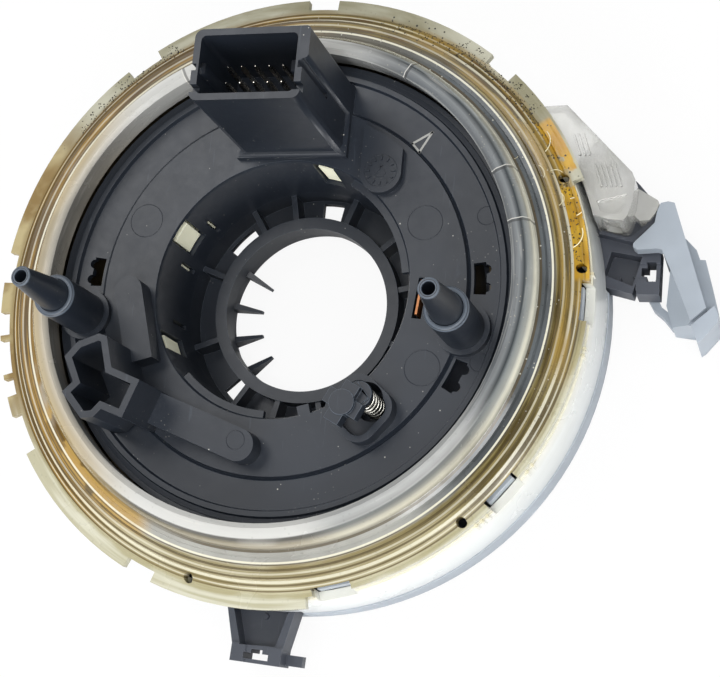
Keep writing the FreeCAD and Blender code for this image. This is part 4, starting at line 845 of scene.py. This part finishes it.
class Branch:
    """A Geometry Nodes tree that ends in Realize Instances and Set Material."""

    def __init__(self, name: str, finish: str) -> None:
        """Start a tree with one geometry input and output.

        Args:
            name: the tree's name.
            finish: the finish that its result gets.
        """
        self.group = bpy.data.node_groups.new(name, "GeometryNodeTree")
        self.material = MATERIALS[finish]
        for way in ("INPUT", "OUTPUT"):
            self.group.interface.new_socket("Geometry", in_out=way, socket_type="NodeSocketGeometry")
        self.inlet = self.group.nodes.new("NodeGroupInput")
        self.outlet = self.group.nodes.new("NodeGroupOutput")
        self.values: Dict[str, float] = {}

    def size(self, name: str, value: float, kind: str = "NodeSocketFloat") -> Socket:
        """Add a named input and keep the value that the modifier sets.

        Args:
            name: the input's name.
            value: its value.
            kind: its socket type.

        Returns:
            The input's socket inside the tree.
        """
        self.group.interface.new_socket(name, in_out="INPUT", socket_type=kind)
        self.values[name] = value
        return self.inlet.outputs[name]

    def add(self, kind: str, settings: Optional[Dict[str, object]] = None, **inputs: object) -> bpy.types.Node:
        """Add a node.

        Args:
            kind: the node's type.
            settings: its own settings, if any.
            inputs: sockets to link or values to set; underscores stand for blanks.

        Returns:
            The node.
        """
        node = self.group.nodes.new(kind)
        for name, value in (settings or {}).items():
            setattr(node, name, value)
        for name, value in inputs.items():
            socket = node.inputs[name.replace("_", " ")]
            if isinstance(value, bpy.types.NodeSocket):
                self.group.links.new(value, socket)
            else:
                socket.default_value = value
        return node

    def box(self, name: str, sides: Point) -> Socket:
        """A box as a named size, its sides in millimetres."""
        size = self.size(name, tuple(side * MM for side in sides), "NodeSocketVector")
        return self.add("GeometryNodeMeshCube", Size=size).outputs[0]

    def tube(self, path: Socket, name: str, radius: float, sides: int) -> Socket:
        """A tube along a path.

        Args:
            path: the curve that it follows.
            name: the name of the input for its radius.
            radius: its radius, in millimetres.
            sides: how many sides it has.

        Returns:
            The tube's socket.
        """
        outline = self.add("GeometryNodeCurvePrimitiveCircle", Resolution=sides,
                           Radius=self.size(name, radius * MM))
        return self.add("GeometryNodeCurveToMesh", Curve=path, Profile_Curve=outline.outputs[0]).outputs[0]

    def scatter(self, per_cm2: float, seed: Socket) -> Socket:
        """Random points on the tree's own faces.

        Args:
            per_cm2: how many stand on a square centimetre.
            seed: the seed's socket.

        Returns:
            The points' socket.
        """
        node = self.add("GeometryNodeDistributePointsOnFaces", Mesh=self.inlet.outputs["Geometry"],
                        Density=self.size("Density", per_cm2 * PER_CM2), Seed=seed)
        return node.outputs["Points"]

    def random(self, low: Point, high: Point, seed: Socket) -> Socket:
        """A random vector for each point.

        Args:
            low: its lowest numbers.
            high: its highest numbers.
            seed: the seed's socket.

        Returns:
            The vector's socket.
        """
        node = self.add("FunctionNodeRandomValue", {"data_type": "FLOAT_VECTOR"}, Seed=seed)
        node.inputs[0].default_value = low
        node.inputs[1].default_value = high
        return node.outputs[0]

    def place(self, shape: Socket, points: Optional[Socket] = None, **turned: Socket) -> Socket:
        """Stand a shape on each point.

        Args:
            shape: the shape.
            points: where it stands, or none for the points of the tree's own mesh.
            turned: its Rotation and Scale, if any.

        Returns:
            The instances' socket.
        """
        points = points or self.inlet.outputs["Geometry"]
        return self.add("GeometryNodeInstanceOnPoints", Points=points, Instance=shape, **turned).outputs[0]

    def grow(self, seat: bpy.types.Mesh, result: Socket, name: str) -> bpy.types.Mesh:
        """End the tree at a socket and run it on a mesh.

        Args:
            seat: the mesh that the tree starts from.
            result: the geometry to finish.
            name: the new mesh's name.

        Returns:
            The plain mesh.
        """
        real = self.add("GeometryNodeRealizeInstances", Geometry=result)
        dressed = self.add("GeometryNodeSetMaterial", Geometry=real.outputs[0], Material=self.material)
        self.group.links.new(dressed.outputs[0], self.outlet.inputs[0])
        thing = bpy.data.objects.new(name, seat)
        modifier = thing.modifiers.new("grow", "NODES")
        modifier.node_group = self.group
        for item in self.group.interface.items_tree:
            if item.in_out == "INPUT" and item.name in self.values:
                modifier[item.identifier] = self.values[item.name]
        bpy.context.scene.collection.objects.link(thing)
        return plain_mesh(thing, name)


def seats(name: str, points: Sequence[Point]) -> bpy.types.Mesh:
    """A mesh of loose points that instances stand on.

    Args:
        name: the mesh's name.
        points: the points, in millimetres.

    Returns:
        The mesh.
    """
    mesh = bpy.data.meshes.new(name)
    mesh.from_pydata([tuple(value * MM for value in point) for point in points], [], [])
    return mesh


def around(radius: float, degrees: float, height: float) -> Point:
    """A point at a radius, an angle and a height, in millimetres."""
    return (radius * math.cos(math.radians(degrees)), radius * math.sin(math.radians(degrees)), height)


@dataclass(frozen=True)
class Studs:
    """Low round studs, one on each seat; sizes in millimetres."""

    radius: float
    height: float
    taper: float = 0.8
    sides: int = 16

    def build(self, name: str, points: Sequence[Point], finish: str) -> bpy.types.Mesh:
        """Grow the studs.

        Args:
            name: the mesh's name.
            points: seats in millimetres.
            finish: the finish's name.

        Returns:
            The mesh.
        """
        tree = Branch(name, finish)
        sides = tree.size("Sides", self.sides, "NodeSocketInt")
        wide = tree.size("Radius", self.radius * MM)
        tall = tree.size("Height", self.height * MM * 2)
        narrow = tree.add("ShaderNodeMath", {"operation": "MULTIPLY"})
        tree.group.links.new(wide, narrow.inputs[0])
        narrow.inputs[1].default_value = self.taper
        stud = tree.add("GeometryNodeMeshCone", Vertices=sides, Radius_Top=narrow.outputs[0],
                        Radius_Bottom=wide, Depth=tall)
        return tree.grow(seats(name, points), tree.place(stud.outputs["Mesh"]), name)


@dataclass(frozen=True)
class Rings:
    """Thin raised rings that ejector pins leave, one on each seat; sizes in millimetres."""

    radius: float
    bead: float = 0.07
    sides: int = 56
    bead_sides: int = 6

    def build(self, name: str, points: Sequence[Point], finish: str) -> bpy.types.Mesh:
        """Grow the rings.

        Args:
            name: the mesh's name.
            points: seats in millimetres.
            finish: the finish's name.

        Returns:
            The mesh.
        """
        tree = Branch(name, finish)
        path = tree.add("GeometryNodeCurvePrimitiveCircle", Resolution=self.sides,
                        Radius=tree.size("Radius", self.radius * MM))
        ring = tree.tube(path.outputs[0], "Bead", self.bead, self.bead_sides)
        return tree.grow(seats(name, points), tree.place(ring), name)


@dataclass
class DateClock:
    """Ring of short raised bars round a small arrowed disc, as a mould's date insert leaves."""

    centre: Point = (17.25, 21.3, 16.5)
    count: int = 12
    ring: float = 2.35
    bar: Point = (0.34, 0.66, 0.50)
    strokes: Tuple[Tuple[Spot, Spot], ...] = (((-0.9, -0.5), (0.2, 1.0)), ((0.9, -0.5), (-0.2, 1.0)),
                                              ((-0.6, -1.0), (0.6, -1.0)))
    stroke_width: float = 0.26
    stroke_rise: float = 0.10

    def build(self) -> bpy.types.Mesh:
        """Grow the bars.

        Returns:
            The mesh.
        """
        tree = Branch("date_bars", "black_moulded")
        path = tree.add("GeometryNodeMeshCircle", Vertices=tree.size("Count", self.count, "NodeSocketInt"),
                        Radius=tree.size("Ring", self.ring * MM))
        spot = tree.add("GeometryNodeInputPosition")
        face = tree.add("FunctionNodeAlignRotationToVector", {"axis": "Y"}, Vector=spot.outputs[0])
        bars = tree.place(tree.box("Bar", self.bar), path.outputs[0], Rotation=face.outputs[0])
        lift = tree.add("GeometryNodeTransform", Geometry=bars, Translation=tuple(v * MM for v in self.centre))
        return tree.grow(seats("date_seat", []), lift.outputs[0], "date_bars")

    def arrow(self) -> bpy.types.Mesh:
        """The small arrow and bars in the middle.

        Returns:
            The mesh.
        """
        x, y, z = self.centre
        paths = [[(x + dx, y + dy) for dx, dy in stroke] for stroke in self.strokes]
        return lines_mesh("date_arrow", paths, z, self.stroke_width, self.stroke_rise)


def lines_mesh(name: str, paths: Sequence[Sequence[Spot]], height: float, width: float, rise: float,
               closed: bool = False, sunk: float = 0.05) -> bpy.types.Mesh:
    """Flat raised strokes along paths, in millimetres.

    Args:
        name: the mesh's name.
        paths: corners of each stroke.
        height: height of the surface that they stand on.
        width: a stroke's width.
        rise: how far it stands up.
        closed: join the last corner to the first.
        sunk: how far it reaches into the surface.

    Returns:
        The mesh.
    """
    work = bmesh.new()
    for path in paths:
        spots = [Vector(spot) for spot in path]
        for start, end in zip(spots, spots[1:] + (spots[:1] if closed else [])):
            run = (end - start).normalized()
            side = Vector((-run.y, run.x)) * width / 2
            start, end = start - run * width / 2, end + run * width / 2
            corners = [start + side, start - side, end - side, end + side]
            low, top = ([work.verts.new((p.x * MM, p.y * MM, z * MM)) for p in corners]
                        for z in (height - sunk, height + rise))
            work.faces.new(top)
            work.faces.new(low[::-1])
            for index in range(4):
                after = (index + 1) % 4
                work.faces.new((low[index], low[after], top[after], top[index]))
    bmesh.ops.recalc_face_normals(work, faces=work.faces)
    return mesh_of(name, work)


@dataclass
class WallRibs:
    """Short upright ribs on the clear wall, beside the snap windows."""

    angles: Tuple[float, ...] = (-46.5, -45.2, -43.9, -33.5, -32.0, -10.5, -9.2, 4.6, 52.0, 53.3, 71.0, 72.3,
                                 149.0, 150.3, 167.0, 168.3)
    radius: float = 55.15
    height: float = 9.2
    rib: Point = (0.5, 0.45, 3.0)

    def build(self) -> bpy.types.Mesh:
        """Grow the ribs.

        Returns:
            The mesh.
        """
        tree = Branch("wall_ribs", "hazed_cup")
        spot = tree.add("GeometryNodeInputPosition")
        flat = tree.add("ShaderNodeVectorMath", {"operation": "MULTIPLY"})
        tree.group.links.new(spot.outputs[0], flat.inputs[0])
        flat.inputs[1].default_value = (1, 1, 0)
        face = tree.add("FunctionNodeAlignRotationToVector", {"axis": "X"}, Vector=flat.outputs[0])
        ribs = tree.place(tree.box("Rib", self.rib), Rotation=face.outputs[0])
        points = [around(self.radius, angle, self.height) for angle in self.angles]
        return tree.grow(seats("rib_seats", points), ribs, "wall_ribs")


@dataclass
class Litter:
    """Crumbs of grit and curled lint that stick in the grease of the cup.

    Sizes are in millimetres. A field is given by its start and end angle and its inner and
    outer radius.
    """

    seed: int = 7
    lint_seed: int = 11
    crumb: float = 0.13
    crumbs_per_cm2: float = 330.0
    crumb_scales: Tuple[Point, Point] = ((0.35, 0.35, 0.3), (1.6, 1.6, 1.0))
    crumb_tilt: float = 0.6
    crumb_fields: Tuple[Tuple[float, ...], ...] = ((26, 72, 52.8, 54.6), (36, 58, 54.6, 55.8),
                                                   (118, 144, 53.6, 55.8), (4, 22, 53.0, 53.9))
    curls_per_cm2: float = 7.0
    curl_bend: float = 1.9
    curl_sweep: float = 1.5
    curl_thread: float = 0.065
    curl_scales: Spot = (0.5, 1.5)
    curl_tilt: float = 0.10
    curl_lift: float = 0.05
    curl_fields: Tuple[Tuple[float, ...], ...] = ((12, 40, 47.5, 53.8), )
    lowest: float = 11
    level: float = 0.25

    def field(self, name: str, sectors: Sequence[Sequence[float]]) -> bpy.types.Mesh:
        """Upward faces of the cup inside some fields.

        Args:
            name: the mesh's name.
            sectors: the fields.

        Returns:
            The mesh that litter is scattered on.
        """
        work = bmesh.new()
        work.from_mesh(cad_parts["stator_cover"].data)
        away = []
        for face in work.faces:
            middle = face.calc_center_median()
            angle = math.degrees(math.atan2(middle.y, middle.x))
            reach = math.hypot(middle.x, middle.y) / MM
            inside = any(start <= angle <= end and low <= reach <= high for start, end, low, high in sectors)
            if not inside or face.normal.z < self.level or middle.z < self.lowest * MM:
                away.append(face)
        bmesh.ops.delete(work, geom=away, context="FACES")
        return mesh_of(name, work)

    def crumbs(self) -> bpy.types.Mesh:
        """Scatter the crumbs.

        Returns:
            The mesh.
        """
        tree = Branch("crumbs", "crumbs")
        seed = tree.size("Seed", self.seed, "NodeSocketInt")
        spots = tree.scatter(self.crumbs_per_cm2, seed)
        grain = tree.add("GeometryNodeMeshIcoSphere", Subdivisions=1,
                         Radius=tree.size("Crumb", self.crumb * MM))
        scale = tree.random(*self.crumb_scales, seed)
        turn = tree.random((0, 0, 0), (self.crumb_tilt, self.crumb_tilt, math.tau), seed)
        placed = tree.place(grain.outputs["Mesh"], spots, Rotation=turn, Scale=scale)
        return tree.grow(self.field("crumb_field", self.crumb_fields), placed, "crumbs")

    def curls(self) -> bpy.types.Mesh:
        """Scatter the lint.

        Returns:
            The mesh.
        """
        tree = Branch("lint", "lint")
        seed = tree.size("Seed", self.lint_seed, "NodeSocketInt")
        spots = tree.scatter(self.curls_per_cm2, seed)
        arc = tree.add("GeometryNodeCurveArc", {"mode": "RADIUS"}, Resolution=9,
                       Radius=tree.size("Bend", self.curl_bend * MM), Sweep_Angle=self.curl_sweep)
        thread = tree.tube(arc.outputs[0], "Thread", self.curl_thread, 5)
        scale = tree.add("FunctionNodeRandomValue", {"data_type": "FLOAT"}, Seed=seed)
        scale.inputs[2].default_value, scale.inputs[3].default_value = self.curl_scales
        tilt = self.curl_tilt
        turn = tree.random((-tilt, -tilt, 0.0), (tilt, tilt, math.tau), seed)
        placed = tree.place(thread, spots, Rotation=turn, Scale=scale.outputs[1])
        lift = tree.add("GeometryNodeTransform", Geometry=placed, Translation=(0, 0, self.curl_lift * MM))
        return tree.grow(self.field("lint_field", self.curl_fields), lift.outputs[0], "lint")


@dataclass
class Carried:
    """A CAD node that shows as it is, or as an eased copy, with its finish."""

    node: str
    finish: str
    body: Body
    ease: float = 0.0

    def dress(self) -> None:
        """Give the node its finish, or stand an eased copy in for it."""
        if self.ease <= 0:
            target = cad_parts[self.node].data
            target.materials.clear()
            target.materials.append(MATERIALS[self.finish])
            LOG.info("%s: finish %s", self.node, self.finish)
            return
        piece = plain_piece(f"{self.node}_eased", Easing(self.ease).copy(self.node), self.finish, self.body)
        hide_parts(self.node)


@dataclass
class Studio:
    """Floor, soft lights and the camera, in metres and watts."""

    lamps: Tuple[Tuple[str, Point, float, float], ...] = (
        ("key", (-0.34, 0.30, 0.70), 0.42, 1.9), ("front", (0.18, -0.20, 0.78), 0.30, 2.5),
        ("fill", (0.60, -0.05, 0.50), 0.50, 0.7), ("low", (-0.05, -0.72, 0.38), 0.46, 3.8))
    surround: float = 0.43
    floor_z: float = -0.009
    floor_gap: float = 0.00005
    floor_reach: float = 3.0
    floor_tone: float = 0.86
    floor_glow: float = 0.90
    lens: float = 77.475
    sensor: float = 36.0
    shift: Spot = (0.00454, 0.00564)
    clip: Spot = (0.01, 20.0)
    place: Point = (0.093835, -0.069796, 0.266339)
    right: Point = (0.95655, 0.09042, -0.27719)
    above: Point = (-0.02257, 0.97080, 0.23880)
    back: Point = (0.29069, -0.22217, 0.93067)

    def build(self) -> None:
        """Build the stage, the lights and the camera."""
        self.build_floor()
        for lamp in self.lamps:
            self.build_light(*lamp)
        self.build_world()
        self.build_camera()

    def build_floor(self) -> None:
        """A wide pale floor under the rear face, near white where the camera sees it."""
        shader = Shader("pale_floor")
        shader.set(Base_Color=(self.floor_tone, ) * 3, Roughness=0.9, Specular_IOR_Level=0.1)
        nodes, links = shader.tree.nodes, shader.tree.links
        seen = shader.times(nodes.new("ShaderNodeLightPath").outputs["Is Camera Ray"], self.floor_glow)
        white = nodes.new("ShaderNodeEmission")
        white.inputs["Strength"].default_value = 1.0
        blend = nodes.new("ShaderNodeMixShader")
        for socket, source in zip(blend.inputs, (seen, shader.surface.outputs[0], white.outputs[0])):
            links.new(source, socket)
        links.new(blend.outputs[0], nodes["Material Output"].inputs["Surface"])
        reach, z = self.floor_reach, self.floor_z - self.floor_gap
        mesh = bpy.data.meshes.new("floor")
        mesh.from_pydata([(-reach, -reach, z), (reach, -reach, z), (reach, reach, z), (-reach, reach, z)],
                         [], [(0, 1, 2, 3)])
        mesh.materials.append(shader.material)
        floor = new_object("floor", mesh)

    def build_light(self, name: str, place: Point, size: float, power: float) -> None:
        """One soft square lamp that faces the part.

        Args:
            name: the lamp's name.
            place: where it is.
            size: its side.
            power: its watts.
        """
        lamp = bpy.data.lights.new(name, "AREA")
        lamp.shape = "SQUARE"
        lamp.size = size
        lamp.energy = power
        thing = new_object(name, lamp)
        thing.location = place
        thing.rotation_euler = (-Vector(place)).to_track_quat("-Z", "Y").to_euler()

    def build_world(self) -> None:
        """Plain light from all sides; white where the camera sees it."""
        world = bpy.data.worlds.new("plain")
        bpy.context.scene.world = world
        world.use_nodes = True
        tree = world.node_tree
        ground = tree.nodes["Background"]
        ground.inputs["Color"].default_value = (1, 1, 1, 1)
        path = tree.nodes.new("ShaderNodeLightPath")
        level = tree.nodes.new("ShaderNodeMapRange")
        level.inputs["To Min"].default_value = self.surround
        level.inputs["To Max"].default_value = 1.0
        tree.links.new(path.outputs["Is Camera Ray"], level.inputs["Value"])
        tree.links.new(level.outputs[0], ground.inputs["Strength"])

    def build_camera(self) -> None:
        """The photograph's viewing angle."""
        data = bpy.data.cameras.new("view")
        data.sensor_width = self.sensor
        data.lens = self.lens
        data.shift_x, data.shift_y = self.shift
        data.clip_start, data.clip_end = self.clip
        camera = new_object("view", data)
        turn = Matrix((self.right, self.above, self.back)).transposed().to_4x4()
        camera.matrix_world = Matrix.Translation(self.place) @ turn
        bpy.context.scene.camera = camera


@dataclass
class Housing:
    """The still parts: clear cup, grey rear cup, carrier, sensor and plug."""

    ease: float = 0.20 * MM
    stud: Studs = Studs(0.55, 0.22)
    arm_studs: Tuple[Point, ...] = ((57.6, 7.6, -4.4), (60.6, 8.2, -4.4), (-3.0, -57.0, -4.4))

    def dress(self) -> None:
        """Finish each carried node and add the small forms on them."""
        for node, finish, ease in (
            ("stator_cover", "hazed_cup", self.ease),
            ("rear_case", "grey_moulded", self.ease),
            ("sensor_housing", "dark_moulded", self.ease),
            ("sensor_board", "lacquer", 0.0),
            ("sensor_chips", "resin", 0.0),
            ("light_barriers", "resin", 0.0),
            ("column_connector", "grey_moulded", self.ease),
            ("column_pins", "tinned", 0.0),
            ("duct_cover", "clear_duct", self.ease),
            ("ribbon_tail", "film", 0.0),
        ):
            Carried(node, finish, Body.STATOR, ease).dress()
        self.add_details()

    def add_details(self) -> None:
        """Wall ribs, grit, lint and the studs in the arms' troughs."""
        litter = Litter()
        plain_piece("wall_ribs", WallRibs().build(), "hazed_cup", Body.STATOR)
        plain_piece("grease_crumbs", litter.crumbs(), "crumbs", Body.STATOR)
        plain_piece("grease_lint", litter.curls(), "lint", Body.STATOR)
        studs = self.stud.build("arm_studs", self.arm_studs, "dark_moulded")
        plain_piece("arm_studs", studs, "dark_moulded", Body.STATOR)


@dataclass
class LockSpring:
    """The lock's coil spring; the real one shortens as the lock is pressed, and this copy keeps its length."""

    foot: float = 9.0
    travel: float = 2.5
    sharp: float = 60.0

    def stand_in(self) -> None:
        """Copy the coil into a piece of its own, with its own mesh, on the rotor."""
        mesh = sharpen(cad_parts["lock_spring"].data.copy(), self.sharp)
        coil = plain_piece("lock_spring_wire", mesh, "drawn_steel", Body.ROTOR)
        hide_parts("lock_spring")
        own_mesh(coil)


@dataclass
class Rotor:
    """The turning parts and what stands on them; places in millimetres."""

    ease: float = 0.27 * MM
    connector_share: float = 1.3
    core_share: float = 0.6
    face: float = 15.0
    band: float = 14.4
    leg_top: float = 19.2
    large_ring: Rings = Rings(3.15)
    large_spots: Tuple[Spot, ...] = ((27.4, -14.0), (25.8, 12.1), (-27.5, 12.5))
    small_ring: Rings = Rings(1.65)
    leg_spot: Spot = (-3.6, -28.6)
    band_spots: Tuple[Spot, ...] = ((36.6, 13.6), (37.2, -12.6))
    date_ring: Rings = Rings(3.0, 0.05)
    triangle: Tuple[Spot, ...] = ((22.1, 27.1), (25.6, 29.2), (23.5, 25.5))
    line_width: float = 0.38
    line_rise: float = 0.06

    def dress(self) -> None:
        """Finish each carried node and add the moulded marks."""
        connector = self.ease * self.connector_share
        for node, finish, ease in (
            ("rotor_plate", "black_moulded", self.ease),
            ("rotor_sleeve", "black_moulded", self.ease),
            ("wheel_connector", "black_moulded", connector),
            ("wheel_pins", "tinned", 0.0),
            ("airbag_connector", "black_moulded", connector),
            ("airbag_pins", "tinned", 0.0),
            ("left_post", "black_moulded", self.ease),
            ("right_post", "black_moulded", self.ease),
            ("contact_leaf", "copper_leaf", 0.0),
            ("ribbon_core", "cream_moulded", self.ease * self.core_share),
            ("ribbon_coil", "film", 0.0),
            ("code_ring", "dark_moulded", 0.0),
        ):
            Carried(node, finish, Body.ROTOR, ease).dress()
        Carried("lock_pin", "black_moulded", Body.LOCK, self.ease).dress()
        LockSpring().stand_in()
        self.add_marks()

    def add_marks(self) -> None:
        """Ejector rings, the date insert and the alignment triangle."""
        large = [(*spot, self.face) for spot in self.large_spots]
        small = [(*self.leg_spot, self.leg_top)] + [(*spot, self.band) for spot in self.band_spots]
        clock = DateClock()
        black = "black_moulded"
        for name, mesh in (
            ("ejector_rings", self.large_ring.build("ejector_rings", large, black)),
            ("small_rings", self.small_ring.build("small_rings", small, black)),
            ("date_bars", clock.build()),
            ("date_arrow", clock.arrow()),
            ("date_ring", self.date_ring.build("date_ring", [clock.centre], black)),
        ):
            plain_piece(name, mesh, black, Body.ROTOR)
        mark = lines_mesh("align_mark", [self.triangle], self.band, self.line_width, self.line_rise,
                          closed=True)
        plain_piece("align_mark", mark, "printed_mark", Body.ROTOR)


def main() -> None:
    """Build the scene in order and report each piece."""
    logging.basicConfig(level=logging.INFO, format="%(name)s %(message)s")
    bpy.context.scene.view_settings.view_transform = "Standard"
    studio = Studio()
    studio.build()
    LOG.info("built %s", type(studio).__name__)
    for assembly in (Housing(), Rotor()):
        assembly.dress()
        LOG.info("dressed %s", type(assembly).__name__)


if __name__ == "__main__":
    main()
